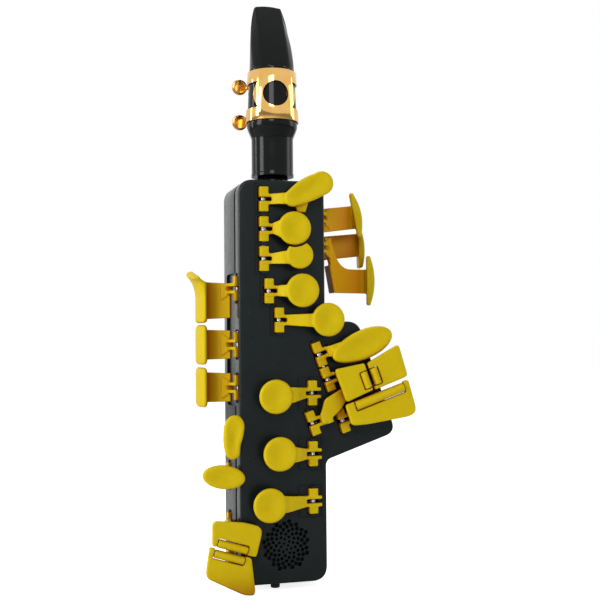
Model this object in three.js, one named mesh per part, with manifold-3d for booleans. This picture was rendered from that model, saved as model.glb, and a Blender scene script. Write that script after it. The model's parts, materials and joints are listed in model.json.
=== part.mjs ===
// Digital wind controller: a black housing with sprung yellow keys and rollers, and a sax mouthpiece on top.
// Millimetres, +Z up along the instrument, the front face towards -Y, origin at the middle of the bottom.
import * as THREE from "three";
import { mergeVertices } from "three/addons/utils/BufferGeometryUtils.js";
import Module from "manifold-3d";

const wasm = await Module();
wasm.setup();

// Housing
const HOUSING_WIDE = 46;
const HOUSING_DEEP = 39;
const HOUSING_TALL = 208;
const HOUSING_CORNER = 8;
const HOUSING_EDGE = 1.2;
const WALL = 2.2;
const SEAM_FROM_FRONT = 11.4;
const GAP = 0.3;
const OVERRUN = 4;
const WING_CORNER = 6;
const WING_BACK_WALL = 1.6;
const WING_ROOT_ROUND = 0.5;
const WING_INSET = 3.7;
// Corners of the wing, from the top of its root round to the bottom, as shares of the housing's front
const WING_SHARES = [
  [0.5, 0.646],
  [0.897, 0.646],
  [1.345, 0.363],
  [0.5, 0.298],
];
const PANEL_DEEP = 1.2;
const PANEL_CORNER = 3;
const PANEL_LOW_SHARE = 0.435;
const PANEL_HIGH_SHARE = 0.77;
const PANEL_BACK_SHARE = 0.31;

// Speaker grille: a sunflower of holes that grow outwards
const GRILLE_RADIUS = 12.3;
const GRILLE_HOLE_COUNT = 88;
const GRILLE_HOLE_OUTER = 1.15;
const GRILLE_HOLE_INNER = 0.55;
const GRILLE_SIDE_COUNT = 5;
const GRILLE_AT_SHARES = [0.02, 0.093];
const GOLDEN_TURN_SHARE = 0.381966;

// Hinges: two square barrels with a forked arm between them on a steel rod
const BARREL = 4.7;
const BARREL_LONG = 12.9;
const AXIS_LIFT = 0.2;
const SIDE_SINK = 1;
const ROD_RADIUS = 0.8;
const ROD_PLAY = 0.3;
const FORK_WIDE = 5.5;
const SLOT_WIDE = 2.1;
const SLOT_LONG = 3.9;
const POCKET_SIDE = 0.75;
const POST_LONG = 1.1;
const POST_WIDE = 3;
const POST_OUT = 1.7;
const CUP_WALL = 1.2;
const RELIEF_LONG = 3.2;
const RELIEF_DEEP = 1.5;
const RELIEF_DEEP_SIDE = 0.6;
const PRONG_TOP = 2.7;
const PRONG_LOW = 1;
const ARM_THICK = 2.2;
const FORK_TAIL = 2;

// Key touches
const PAD_THICK = 2.6;
const PAD_EDGE = 0.7;
const PAD_LIFT = 8.8;
const TABLE_LIFT = 11;
const TABLE_THICK = 2.4;
const PLATE_CORNER = 2;
const UNDER_ARM_LIFT = 5.6;
const UNDER_ARM_THICK = 2;

// Rollers
const ROLLER_PIN = 0.5;
const ROLLER_PIN_LONG = 1;
const ROLLER_PLAY = 0.35;

// Facets
const LONGEST_ROUND_SHARE = 0.42;
const MERGE = 0.0001;
const ARC_STEP_COUNT = 3;
const EDGE_STEP_COUNT = 1;
const ROUND_SIDE_COUNT = 18;
const PIN_SIDE_COUNT = 6;
const FINE_SIDE_COUNT = 32;
const SIMPLER = 0.002;
const TABLE_TILT = -0.34;

// Round pads and their places on the front, as shares of the housing's width and height
const PAD_RADIUS = 8.75;
const BIS_RADIUS = 7.1;
const PAD_SHARES = {
  b: [0.102, 0.876],
  bis: [0.159, 0.81],
  a: [0.191, 0.7225],
  g: [0.487, 0.65],
  f: [-0.125, 0.462],
  e: [-0.083, 0.322],
  d: [-0.2, 0.1985],
};
const ARM_WIDE = 6.6;
const ARM_WIDE_B = 14;
const ARM_WIDE_STACK = 10.5;
const BIS_NOTCH_GAP = 0.9;

// The forked F touch and its tab
const CAPSULE_SHARES = [[0.083, 0.9505], [0.425, 0.9905]];
const CAPSULE_NARROW = 4.5;
const CAPSULE_BROAD = 6.2;
const TAB_SHARES = [[0.11, 0.945], [0.27, 0.94], [0.235, 0.917], [0.15, 0.917]];
const TAB_DROP = 2.4;
const TAB_THICK = 2;

// The G sharp touch
const ELLIPSE_SHARES = [0.887, 0.586];
const ELLIPSE_LONG = 17.4;
const ELLIPSE_SHORT = 7.6;
const ELLIPSE_TURN = 0.04;

// Roller sizes
const EDGE_ROLLER_LONG = 8.7;
const EDGE_ROLLER_RADIUS = 2.1;
const LONG_ROLLER_LONG = 28;
const LONG_ROLLER_RADIUS = 2.45;
const LOW_ROLLER_LONG = 15.8;
const LOW_ROLLER_RADIUS = 2.1;
const LOW_LEAN = 0.305;

// The table plates and the bent low B arm
const PLATE_SHARES = {
  low_c_sharp: [[0.537, 0.5265], [0.886, 0.541], [0.99, 0.474], [0.672, 0.4445]],
  low_b: [[0.92, 0.541], [1.298, 0.5875], [1.408, 0.507], [1.01, 0.474]],
  low_b_flat: [
    [0.657, 0.438],
    [1.411, 0.499],
    [1.512, 0.42],
    [1.44, 0.406],
    [0.9, 0.3885],
    [0.732, 0.387],
  ],
};
const PLATE_CORNERS = {
  low_c_sharp: [2, 1.4, 1.4, 2],
  low_b: [1.4, 2, 2, 1.4],
  low_b_flat: [2, 2, 3, 3, 3, 2],
};
const RISE_LONG = 4;
const BENT_ARM_SHARES = [
  [0.42, 0.425],
  [0.45, 0.452],
  [0.66, 0.478],
  [1.13, 0.528],
  [1.175, 0.501],
  [0.7, 0.446],
  [0.635, 0.424],
];
const RISER_LONG = 5;

// Side keys
const WEB_THICK = 2.4;
const WEB_START_ALONG = 4.2;
const WEB_START_OUT = 3;
const SIDE_TOUCH_DEEP = 16;
const SIDE_TOUCH_THICK = 3.6;
const SIDE_TOUCH_CORNER = 1.7;
const SIDE_TOUCH_TALL = 20.7;
const SIDE_REACH = 17.45;
const SIDE_BACK = 12.2;
const SIDE_LEAN = 0.11;
const SIDE_WEB_TALL = 15.8;
const SIDE_WEB_TAPER = 0.6;
const HORN_UP = 10.4;
const HORN_OUT = 5;
const HORN_THICK = 5;
const HORN_SHOULDER = 3.9;
const HORN_BEND_OUT = 1.2;
const HORN_BEND_UP = 6;
const HORN_FRONT_UP = 6.4;
const HORN_SIDE_UP = 2.5;
const HORN_DOWN = 17.8;

// The flare where a fork's arm meets its web
const FLARE_LONG = 5;
const FLARE_WIDE = 12;
const FLARE_THICK = 3.6;

// Palm keys
const PALM_TOUCH_DEEP = 10.4;

// How far back and out each palm touch stands from its hinge, and its own and its web's heights
const PALM_SHARES = {
  palm_d: { back: 0.39, out: 0.563, tall: 0.117, low: -0.0371, high: 0.0245, rise: 0.018, up: 0.016 },
  palm_e_flat: { back: 0.474, out: 0.7, tall: 0.1, low: -0.0297, high: 0.0325, rise: 0.0188, up: 0.0072 },
  palm_f: { back: 0.364, out: 0.713, tall: 0.1305, low: -0.115, high: -0.0512, rise: 0, up: -0.081 },
};

// The angles of each palm touch: its lean as seen from the front, and its turn about the upright
const PALM_LEANS = { palm_d: 0.19, palm_e_flat: 0.02, palm_f: 0 };
const PALM_TURNS = { palm_d: -0.33, palm_e_flat: -0.2, palm_f: -0.33 };

// The brace of the palm F web: a sail from the fork down to the web, and a rib behind its low edge
const BRACE_TOP = 5.6;
const BRACE_LOW_EDGE_SHARES = [
  [0.03, 1],
  [0.051, 0.13],
  [0.102, -0.7],
  [0.176, -1.94],
  [0.212, -3.05],
  [0.242, -4.27],
];
const BRACE_HIGH_EDGE_SHARES = [
  [0.533, -1.95],
  [0.44, -1.79],
  [0.347, -1.38],
  [0.271, -0.73],
  [0.197, 0.37],
  [0.15, 1],
];
const BRACE_RIB_THICK = 1.6;
const BRACE_RIB_DEEP = 9;
const BRACE_RIB_SHARES = [0.155, 0.242];
const BRACE_RIB_HIGH = -9;

// The lens of a palm touch
const LENS_TIP = 2.6;
const LENS_EDGE = 0.5;
const LENS_BULGES = { palm_d: 5.4, palm_e_flat: 3.6, palm_f: 5.4 };

// Lower left keys
const LOW_LIFT = 6.5;
const LOW_THICK = 2.6;
const SIDE_ARM_THICK = 2.2;
const SIDE_ARM_NEAR_OUT = 3.2;
const SIDE_ARM_FAR_OUT = 7.4;
const SIDE_ARM_TALL = 8;
const SIDE_ARM_FULL = 14;
const BEAN_SHARES = [
  [-0.704, 0.3995],
  [-0.634, 0.4185],
  [-0.53, 0.42],
  [-0.468, 0.398],
  [-0.488, 0.367],
  [-0.522, 0.345],
  [-0.527, 0.32],
  [-0.61, 0.309],
  [-0.69, 0.322],
  [-0.716, 0.357],
];
const BEAN_CORNER = 3;
const OVAL_SHARES = [-0.707, 0.271];
const OVAL_LONG = 11;
const OVAL_SHORT = 6;
const OVAL_LEAN = 0.14;
const LOW_PLATE_SHARES = {
  e_flat: [
    [-0.84, 0.1685],
    [-0.48, 0.16],
    [-0.271, 0.147],
    [-0.354, 0.0755],
    [-0.43, 0.0795],
    [-0.842, 0.109],
  ],
  low_c: [
    [-0.871, 0.107],
    [-0.409, 0.0745],
    [-0.361, -0.0165],
    [-0.49, -0.0142],
    [-0.906, 0.0325],
    [-0.91, 0.052],
  ],
};
const LOW_CORNERS = { e_flat: [3, 2.2, 5, 1.4, 1.4, 1.4], low_c: [1.4, 1.4, 3.4, 2.2, 3, 2.2] };
const SIDE_ARM_UP_SHARES = { high_f_sharp: 0.0025, fork_f_sharp: 0.0127, e_flat: 0.009, low_c: -0.0069 };

// Octave key
const OCTAVE_REACH = 17;
const OCTAVE_LONG = 8.5;
const OCTAVE_SHORT = 6.5;

// The neck's and the button's holes
const NECK_RADIUS = 8.3;
const BUTTON_RADIUS = 2.4;
const BUTTON_ACROSS = -3.6;
const BUTTON_BEHIND_FRONT = 6.1;
const BUTTON_EDGE = 0.5;

// Ends of the rods
const ROD_END = 0.3;
const ROD_HOLE_DEEP = 1.3;

// Mouthpiece
const NECK_SHOWS = 4.3;
const SHANK_TALL = 20.3;
const SHOULDER_TALL = 6.4;
const BODY_TALL = 31;
const BEAK_TALL = 38;
const SHANK_RADIUS = 11.2;
const SHANK_LIP = 11.4;
const BODY_RADIUS = 13.5;
const BEAK_RADIUS = 12.2;
const TIP_RADIUS = 11.3;
const LIP_TALL = 1.4;
const LIP_SLOPE = 0.7;
const TABLE_BACK = 10.2;
const TIP_BACK = 9.4;
const TIP_THICK = 1.2;
const SLOPE_SAG = 2;
const BORE_RADIUS = 8.3;
const BORE_PAST_SHOULDER = 5;
const THROAT_RADIUS = 5.5;
const WINDOW_WIDE = 10;
const WINDOW_UNDER_BEAK = 2;
const TIP_SOLID = 8;

// Half widths of the beak as shares of its radius, with heights as shares of its length
const BEAK_SHARES = [[1, 0], [0.95, 0.4], [0.86, 0.7], [0.78, 0.84]];
const BEAK_CORNER_SHARE = 0.6;

// Reed
const REED_WIDE = 13;
const REED_ABOVE_SHOULDER = 2.4;
const REED_TIP_THICK = 0.5;
const REED_VAMP_UP = 3;

// Ligature and its screws
const LIGATURE_ABOVE_SHOULDER = 2.6;
const LIGATURE_UNDER_BEAK = 1.4;
const LIGATURE_THICK = 0.6;
const LIGATURE_TURN = -0.087;
const LIGATURE_BAND = 6.6;
const LIGATURE_HOLE = 6.8;
const LIGATURE_RING = 11.3;
const LIGATURE_BACK = 9;
const LUG_SLIT = 1.4;
const LUG_THICK = 2.4;
const LUG_OUT = 19;
const SCREW_AT = 16.6;
const SCREW_RADIUS = 1.2;
const SCREW_UP = 4.2;
const SCREW_LOW = 3.2;
const SCREW_LEFT = -10.6;
const SCREW_RIGHT = 6.4;
const SCREW_NUT = 2.4;
const HEAD_RADIUS = 4.3;
const HEAD_THICK = 1.8;
const HEAD_OUT = 3.6;
const LUG_TALL = 6;

// Neck and cork
const NECK_BORE = 4;
const NECK_TAIL_RADIUS = 7.3;
const NECK_INSIDE = 8;
const NECK_PAST_SHOULDER = 1;
const NECK_CORE = 6.9;
const FLANGE_RADIUS = 11;
const FLANGE_THICK = 2;
const CORK_IN_SHANK = 4.7;
const CORK_PAST_SHANK = 3.4;
const CORK_RADIUS = 8;

// Power button
const BUTTON_OUT = 2.9;
const BUTTON_COLLAR = 3.6;
const BUTTON_COLLAR_THICK = 1.2;

// Inside: speaker, circuit board and battery
const SPEAKER_RADIUS = 12.6;
const SPEAKER_THICK = 5;
const SPEAKER_MAGNET = 7;
const SPEAKER_MAGNET_THICK = 4;
const BOARD_WIDE = 30;
const BOARD_LOW = 42;
const BOARD_UNDER_TOP = 18;
const BOARD_BEHIND_SEAM = 7.1;
const BOARD_THICK = 1.6;
const BATTERY_WIDE = 20;
const BATTERY_UP = 20;
const BATTERY_LONG = 66;
const BATTERY_THICK = 9;
const STAND_WIDE = 3.6;
const STAND_INSET = 2.4;
const STAND_END = 4;
const RIB_END = 10;

// Back: thumb rest, thumb hook and strap ring
const REST_RADIUS = 8;
const REST_THICK = 3;
const REST_EDGE = 1.2;
const REST_ABOVE_RING = 30;
const HOOK_UP = 76;
const HOOK_WIDE = 16;
const HOOK_BASE_TALL = 22;
const HOOK_THICK = 3;
const HOOK_OUT = 24;
const HOOK_LIP = 10;
const HOOK_ROUND = 1;
const HOOK_FILLET = 2.5;
const HOOK_ELBOW = 4;
const RING_ABOVE_HOOK = 17;
const RING_RADIUS = 6.5;
const RING_WIRE = 1.4;
const RING_BASE_WIDE = 12;
const RING_BASE_TALL = 16;
const RING_BASE_THICK = 2.4;

// Finishes
const YELLOW = { color: 0xe3c81e, roughness: 0.45, metalness: 0 };
const BLACK = { color: 0x17191a, roughness: 0.55, metalness: 0 };
const GLOSS = { color: 0x0c0d0e, roughness: 0.08, metalness: 0 };
const GOLD = { color: 0xd9a648, roughness: 0.18, metalness: 1 };
const STEEL = { color: 0xb9bcc0, roughness: 0.3, metalness: 1 };
const CORK = { color: 0xb08a5a, roughness: 0.9, metalness: 0 };
const CANE = { color: 0xd8bf82, roughness: 0.6, metalness: 0 };
const BOARD = { color: 0x1d5a35, roughness: 0.5, metalness: 0 };
const CELL = { color: 0x8d9298, roughness: 0.4, metalness: 0.2 };

const LEFT = -HOUSING_WIDE / 2;
const RIGHT = HOUSING_WIDE / 2;
const FRONT = -HOUSING_DEEP / 2;
const BACK = HOUSING_DEEP / 2;
const SEAM = FRONT + SEAM_FROM_FRONT;
const HALF_BARREL = BARREL / 2;
const HALF_HINGE = BARREL_LONG / 2;
const HALF_FORK = FORK_WIDE / 2;
const POCKET_HALF = HALF_BARREL + POCKET_SIDE;
const QUARTER_TURN = Math.PI / 2;

// Closed geometry as a solid
function solidOf(geometry) {
  const bare = geometry.clone();
  bare.deleteAttribute("normal");
  bare.deleteAttribute("uv");
  const merged = mergeVertices(bare, MERGE);
  const mesh = new wasm.Mesh({
    numProp: 3,
    vertProperties: new Float32Array(merged.attributes.position.array),
    triVerts: new Uint32Array(merged.index.array),
  });
  return new wasm.Manifold(mesh);
}

// A solid back as geometry
function geometryOf(solid) {
  const mesh = solid.getMesh();
  const points = new Float32Array(mesh.numVert * 3);
  for (let i = 0; i < mesh.numVert; i++) {
    points.set(mesh.vertProperties.subarray(i * mesh.numProp, i * mesh.numProp + 3), i * 3);
  }
  const geometry = new THREE.BufferGeometry();
  geometry.setAttribute("position", new THREE.BufferAttribute(points, 3));
  geometry.setIndex(new THREE.BufferAttribute(new Uint32Array(mesh.triVerts), 1));
  return geometry;
}

// A solid moved by a matrix
function placed(solid, matrix) {
  return solidOf(geometryOf(solid).applyMatrix4(matrix));
}

// Joins a list of solids
function joined(solids) {
  return solids.reduce((whole, piece) => whole.add(piece));
}

// The point a given distance from one point towards another, at most halfway
function towards(from, to, distance) {
  const away = Math.hypot(to[0] - from[0], to[1] - from[1]);
  const part = Math.min(distance / away, LONGEST_ROUND_SHARE);
  return [from[0] + (to[0] - from[0]) * part, from[1] + (to[1] - from[1]) * part];
}

// A closed outline through corner points, each corner rounded by one radius or by its own
function outline(points, rounds) {
  const shape = new THREE.Shape();
  points.forEach((point, i) => {
    const round = Array.isArray(rounds) ? rounds[i] : rounds;
    const before = points[(i + points.length - 1) % points.length];
    const after = points[(i + 1) % points.length];
    const start = towards(point, before, round);
    const end = towards(point, after, round);
    if (i === 0) {
      shape.moveTo(...start);
    } else {
      shape.lineTo(...start);
    }
    if (round > 0) {
      shape.quadraticCurveTo(...point, ...end);
    }
  });
  shape.closePath();
  return shape;
}

// A closed ellipse outline in four arcs
function roundOutline([x, y], [radiusX, radiusY], turn = 0) {
  const shape = new THREE.Shape();
  for (let quarter = 0; quarter < 4; quarter++) {
    const from = quarter * QUARTER_TURN;
    shape.absellipse(x, y, radiusX, radiusY, from, from + QUARTER_TURN, false, turn);
  }
  return shape;
}

// An outline in x and z made a plate whose front is at the given y
function slab(shape, front, thick, edge = 0) {
  const geometry = new THREE.ExtrudeGeometry(shape, {
    depth: thick - 2 * edge,
    bevelEnabled: edge > 0,
    bevelThickness: edge,
    bevelSize: edge,
    bevelOffset: -edge,
    bevelSegments: EDGE_STEP_COUNT,
    curveSegments: ARC_STEP_COUNT,
  });
  geometry.rotateX(QUARTER_TURN);
  geometry.translate(0, front + thick - edge, 0);
  return solidOf(geometry);
}

// A section in x and y drawn out along z
function column(shape, low, high, edge = 0) {
  const geometry = new THREE.ExtrudeGeometry(shape, {
    depth: high - low - 2 * edge,
    bevelEnabled: edge > 0,
    bevelThickness: edge,
    bevelSize: edge,
    bevelOffset: -edge,
    bevelSegments: EDGE_STEP_COUNT,
    curveSegments: ARC_STEP_COUNT,
  });
  geometry.translate(0, 0, low + edge);
  return solidOf(geometry);
}

// A section in y and z drawn out along x
function beam(shape, left, right, edge = 0) {
  const geometry = new THREE.ExtrudeGeometry(shape, {
    depth: right - left - 2 * edge,
    bevelEnabled: edge > 0,
    bevelThickness: edge,
    bevelSize: edge,
    bevelOffset: -edge,
    bevelSegments: EDGE_STEP_COUNT,
    curveSegments: ARC_STEP_COUNT,
  });
  geometry.rotateY(QUARTER_TURN);
  geometry.rotateX(QUARTER_TURN);
  geometry.translate(left + edge, 0, 0);
  return solidOf(geometry);
}

// A box between two corners
function block([x0, y0, z0], [x1, y1, z1]) {
  const geometry = new THREE.BoxGeometry(x1 - x0, y1 - y0, z1 - z0);
  geometry.translate((x0 + x1) / 2, (y0 + y1) / 2, (z0 + z1) / 2);
  return solidOf(geometry);
}

// A round bar along z
function bar(radius, low, high, sides = PIN_SIDE_COUNT) {
  const geometry = new THREE.CylinderGeometry(radius, radius, high - low, sides);
  geometry.rotateX(QUARTER_TURN);
  geometry.translate(0, 0, (low + high) / 2);
  return solidOf(geometry);
}

// A round bar along y
function plug(radius, [x, z], front, back, sides = ROUND_SIDE_COUNT) {
  const geometry = new THREE.CylinderGeometry(radius, radius, back - front, sides);
  geometry.translate(x, (front + back) / 2, z);
  return solidOf(geometry);
}

// A turned solid about z from radius and height pairs
function turned(profile, sides = ROUND_SIDE_COUNT) {
  const geometry = new THREE.LatheGeometry(profile.map(([r, z]) => new THREE.Vector2(r, z)), sides);
  geometry.rotateX(QUARTER_TURN);
  return solidOf(geometry);
}

// A hinge's frame: local x runs from the rod to the touch, local -y out of the face, local z along the rod
function frameAt([x, y, z], face, tilt) {
  const matrix = new THREE.Matrix4().makeRotationZ(face);
  matrix.multiply(new THREE.Matrix4().makeRotationY(tilt));
  matrix.setPosition(x, y, z);
  return matrix;
}

// A place on the front given as shares of the housing
function onFront([across, up]) {
  return [across * HOUSING_WIDE, up * HOUSING_TALL];
}

const FRONT_FACE = 0;
const LEFT_FACE = -QUARTER_TURN;
const RIGHT_FACE = QUARTER_TURN;
const BACK_FACE = Math.PI;

// Hinge places: shares of the width and height on the front and back, of the depth and height on the sides
const HINGES = {
  front_f: { share: [-0.219, 0.95], face: FRONT_FACE, tilt: 0 },
  b: { share: [-0.219, 0.876], face: FRONT_FACE, tilt: 0 },
  bis: { share: [-0.219, 0.802], face: FRONT_FACE, tilt: 0 },
  a: { share: [-0.163, 0.722], face: FRONT_FACE, tilt: 0 },
  g: { share: [-0.048, 0.65], face: FRONT_FACE, tilt: 0 },
  f: { share: [0.33, 0.468], face: FRONT_FACE, tilt: Math.PI },
  e: { share: [0.332, 0.317], face: FRONT_FACE, tilt: Math.PI },
  d: { share: [0.33, 0.2], face: FRONT_FACE, tilt: Math.PI },
  g_sharp: { share: [0.416, 0.564], face: FRONT_FACE, tilt: TABLE_TILT, open: -1 },
  low_c_sharp: { share: [0.515, 0.501], face: FRONT_FACE, tilt: TABLE_TILT, open: 1 },
  low_b: { share: [0.334, 0.393], face: FRONT_FACE, tilt: TABLE_TILT },
  low_b_flat: { share: [0.686, 0.397], face: FRONT_FACE, tilt: TABLE_TILT },
  side_b_flat: { share: [-0.313, 0.73], face: LEFT_FACE, tilt: Math.PI },
  side_c: { share: [-0.313, 0.59], face: LEFT_FACE, tilt: Math.PI },
  side_high_e: { share: [-0.313, 0.483], face: LEFT_FACE, tilt: Math.PI },
  palm_d: { share: [-0.313, 0.913], face: RIGHT_FACE, tilt: 0 },
  palm_f: { share: [-0.313, 0.836], face: RIGHT_FACE, tilt: 0 },
  palm_e_flat: { share: [-0.09, 0.836], face: RIGHT_FACE, tilt: 0 },
  high_f_sharp: { share: [0.2, 0.3655], face: LEFT_FACE, tilt: 0 },
  fork_f_sharp: { share: [0.2, 0.256], face: LEFT_FACE, tilt: 0 },
  e_flat: { share: [0.2, 0.129], face: LEFT_FACE, tilt: 0 },
  low_c: { share: [0.2, 0.0465], face: LEFT_FACE, tilt: 0 },
  octave: { share: [0.2, 0.836], face: BACK_FACE, tilt: 0 },
};

for (const hinge of Object.values(HINGES)) {
  const [across, up] = hinge.share;
  const high = up * HOUSING_TALL;
  hinge.open = hinge.open ?? 0;
  if (hinge.face === FRONT_FACE) {
    hinge.at = [across * HOUSING_WIDE, FRONT - AXIS_LIFT, high];
  } else if (hinge.face === BACK_FACE) {
    hinge.at = [across * HOUSING_WIDE, BACK + AXIS_LIFT, high];
  } else if (hinge.face === LEFT_FACE) {
    hinge.at = [LEFT + SIDE_SINK, across * HOUSING_DEEP, high];
  } else {
    hinge.at = [RIGHT - SIDE_SINK, across * HOUSING_DEEP, high];
  }
  hinge.matrix = frameAt(hinge.at, hinge.face, hinge.tilt);
  hinge.inverse = hinge.matrix.clone().invert();
}

// A place on the front plane seen in a front hinge's own frame, as local x and z
function local(hinge, share) {
  const [x, z] = onFront(share);
  const point = new THREE.Vector3(x, hinge.at[1], z).applyMatrix4(hinge.inverse);
  return [point.x, point.z];
}

// The barrels of a hinge
function barrels() {
  return block([-HALF_BARREL, -HALF_BARREL, -HALF_HINGE], [HALF_BARREL, HALF_BARREL, HALF_HINGE]);
}

// Cuts the fork's slot and the hole for the rod
function forked(solid, tail = 0) {
  const slot = block(
    [-HALF_BARREL - tail - OVERRUN, -BARREL - OVERRUN, -SLOT_WIDE / 2],
    [SLOT_LONG, BARREL, SLOT_WIDE / 2],
  );
  const hole = bar(ROD_RADIUS + ROD_PLAY, -BARREL_LONG, BARREL_LONG);
  return solid.subtract(slot).subtract(hole);
}

// The arm of a front key: its side view from the fork up to the touch, cut to its plan
function risingArm(plan, tail, rise, reach, level) {
  const side = new THREE.Shape();
  side.moveTo(-HALF_BARREL - tail, -PRONG_TOP);
  side.lineTo(HALF_BARREL, -PRONG_TOP);
  side.bezierCurveTo(
    (HALF_BARREL + rise) / 2, -PRONG_TOP,
    (HALF_BARREL + rise) / 2, -level,
    rise, -level,
  );
  side.lineTo(reach, -level);
  side.lineTo(reach, ARM_THICK - level);
  side.lineTo(rise, ARM_THICK - level);
  side.bezierCurveTo(
    (HALF_BARREL + rise) / 2, ARM_THICK - level,
    (HALF_BARREL + rise) / 2, PRONG_LOW - PRONG_TOP,
    HALF_BARREL, -AXIS_LIFT,
  );
  side.lineTo(HALF_BARREL, PRONG_LOW);
  side.lineTo(-HALF_BARREL, PRONG_LOW);
  if (tail > 0) {
    side.lineTo(-HALF_BARREL, -AXIS_LIFT - GAP);
    side.lineTo(-HALF_BARREL - tail, -AXIS_LIFT - GAP);
  }
  side.closePath();
  return column(side, -HOUSING_WIDE, HOUSING_WIDE).intersect(slab(plan, -HOUSING_WIDE, 2 * HOUSING_WIDE));
}

// A plan that leaves the fork straight and widens to a root near the touch
function armPlan(tail, [rootX, rootZ], far) {
  return outline(
    [
      [-HALF_BARREL - tail, -HALF_FORK],
      [SLOT_LONG + HALF_BARREL, -HALF_FORK],
      [rootX, rootZ - far / 2],
      [rootX, rootZ + far / 2],
      [SLOT_LONG + HALF_BARREL, HALF_FORK],
      [-HALF_BARREL - tail, HALF_FORK],
    ],
    0,
  );
}

// A front key with a round pad
function roundKey(name, padShare, padRadius, far, tail = 0) {
  const hinge = HINGES[name];
  const [padX, padZ] = local(hinge, padShare);
  const level = PAD_LIFT - PAD_EDGE - AXIS_LIFT;
  const root = [padX, padZ];
  const arm = risingArm(armPlan(tail, root, far), tail, padX - padRadius, padX, level);
  const plan = roundOutline([padX, padZ], [padRadius, padRadius]);
  const pad = slab(plan, AXIS_LIFT - PAD_LIFT, PAD_THICK, PAD_EDGE);
  return forked(joined([arm, barrels(), pad]), tail);
}

const solids = {};
solids.key_b = roundKey("b", PAD_SHARES.b, PAD_RADIUS, ARM_WIDE_B);
solids.key_a = roundKey("a", PAD_SHARES.a, PAD_RADIUS, ARM_WIDE);
solids.key_g = roundKey("g", PAD_SHARES.g, PAD_RADIUS, ARM_WIDE);
for (const name of ["f", "e", "d"]) {
  solids["key_" + name] = roundKey(name, PAD_SHARES[name], PAD_RADIUS, ARM_WIDE_STACK, FORK_TAIL);
}

// The bis pad is notched round the pad above it
{
  const [x, z] = local(HINGES.bis, PAD_SHARES.b);
  const whole = roundKey("bis", PAD_SHARES.bis, BIS_RADIUS, ARM_WIDE);
  solids.key_bis = whole.subtract(
    plug(PAD_RADIUS + BIS_NOTCH_GAP, [x, z], -HOUSING_WIDE, HALF_BARREL),
  );
}

// The forked F touch: a tapered capsule with a small tab under it
{
  const hinge = HINGES.front_f;
  const [low, high] = CAPSULE_SHARES.map((share) => local(hinge, share));
  const lean = Math.atan2(high[1] - low[1], high[0] - low[0]);
  const spread = Math.asin((CAPSULE_BROAD - CAPSULE_NARROW) / Math.hypot(high[0] - low[0], high[1] - low[1]));
  const capsule = new THREE.Shape();
  const turnUp = lean + QUARTER_TURN + spread;
  const turnDown = lean - QUARTER_TURN - spread;
  capsule.absarc(...low, CAPSULE_NARROW, turnUp, lean + Math.PI, false);
  capsule.absarc(...low, CAPSULE_NARROW, lean + Math.PI, turnDown + 2 * Math.PI, false);
  capsule.absarc(...high, CAPSULE_BROAD, turnDown, lean, false);
  capsule.absarc(...high, CAPSULE_BROAD, lean, turnUp, false);
  capsule.closePath();
  const level = PAD_LIFT - PAD_EDGE - AXIS_LIFT;
  const arm = risingArm(armPlan(0, low, FORK_WIDE), 0, low[0] - CAPSULE_NARROW, low[0], level);
  const touch = slab(capsule, AXIS_LIFT - PAD_LIFT, PAD_THICK, PAD_EDGE);
  const tabPlan = outline(TAB_SHARES.map((share) => local(hinge, share)), PAD_EDGE);
  const tab = slab(tabPlan, AXIS_LIFT - PAD_LIFT + TAB_DROP, TAB_THICK);
  solids.key_front_f = forked(joined([arm, barrels(), touch, tab]));
}

// The pinky table: four touches whose hinges lean together
{
  const hinge = HINGES.g_sharp;
  const [x, z] = local(hinge, ELLIPSE_SHARES);
  const level = PAD_LIFT - PAD_EDGE - AXIS_LIFT;
  const touch = slab(
    roundOutline([0, 0], [ELLIPSE_LONG, ELLIPSE_SHORT]),
    AXIS_LIFT - PAD_LIFT,
    PAD_THICK,
    PAD_EDGE,
  );
  const turn = new THREE.Matrix4().makeRotationY(-ELLIPSE_TURN);
  turn.setPosition(x, 0, z);
  const arm = risingArm(armPlan(0, [x, z], ARM_WIDE_STACK), 0, x - ELLIPSE_LONG + PLATE_CORNER, x, level);
  solids.key_g_sharp = forked(joined([arm, barrels(), placed(touch, turn)]));
}

// Rollers: the middle as shares, the lean of the axis, the length and the radius
const ROLLERS = {
  low_c_sharp: {
    share: [0.9045, 0.499],
    lean: TABLE_TILT,
    long: EDGE_ROLLER_LONG,
    radius: EDGE_ROLLER_RADIUS,
    open: 1,
  },
  low_b: {
    share: [1.0215, 0.509],
    lean: TABLE_TILT,
    long: EDGE_ROLLER_LONG,
    radius: EDGE_ROLLER_RADIUS,
    open: -1,
  },
  low_b_flat: {
    share: [1.0676, 0.4572],
    lean: TABLE_TILT + QUARTER_TURN,
    long: LONG_ROLLER_LONG,
    radius: LONG_ROLLER_RADIUS,
    open: -1,
  },
  e_flat: {
    share: [-0.6155, 0.1034],
    lean: LOW_LEAN + QUARTER_TURN,
    long: LOW_ROLLER_LONG,
    radius: LOW_ROLLER_RADIUS,
    open: 1,
  },
  low_c: {
    share: [-0.655, 0.0794],
    lean: LOW_LEAN + QUARTER_TURN,
    long: LOW_ROLLER_LONG,
    radius: LOW_ROLLER_RADIUS,
    open: -1,
  },
};

// The roller's frame at the middle of a plate, with its axis along the local z
function rollerFrame(name, depth) {
  const roller = ROLLERS[name];
  const [x, z] = onFront(roller.share);
  return frameAt([x, depth, z], FRONT_FACE, roller.lean);
}

// A roller with its two end pins
function rollerBody({ long, radius }) {
  const half = long / 2;
  const barrel = bar(radius, -half, half, ROUND_SIDE_COUNT / 2);
  const pin = bar(ROLLER_PIN, -half - ROLLER_PIN_LONG, half + ROLLER_PIN_LONG, PIN_SIDE_COUNT);
  return barrel.add(pin);
}

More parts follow.
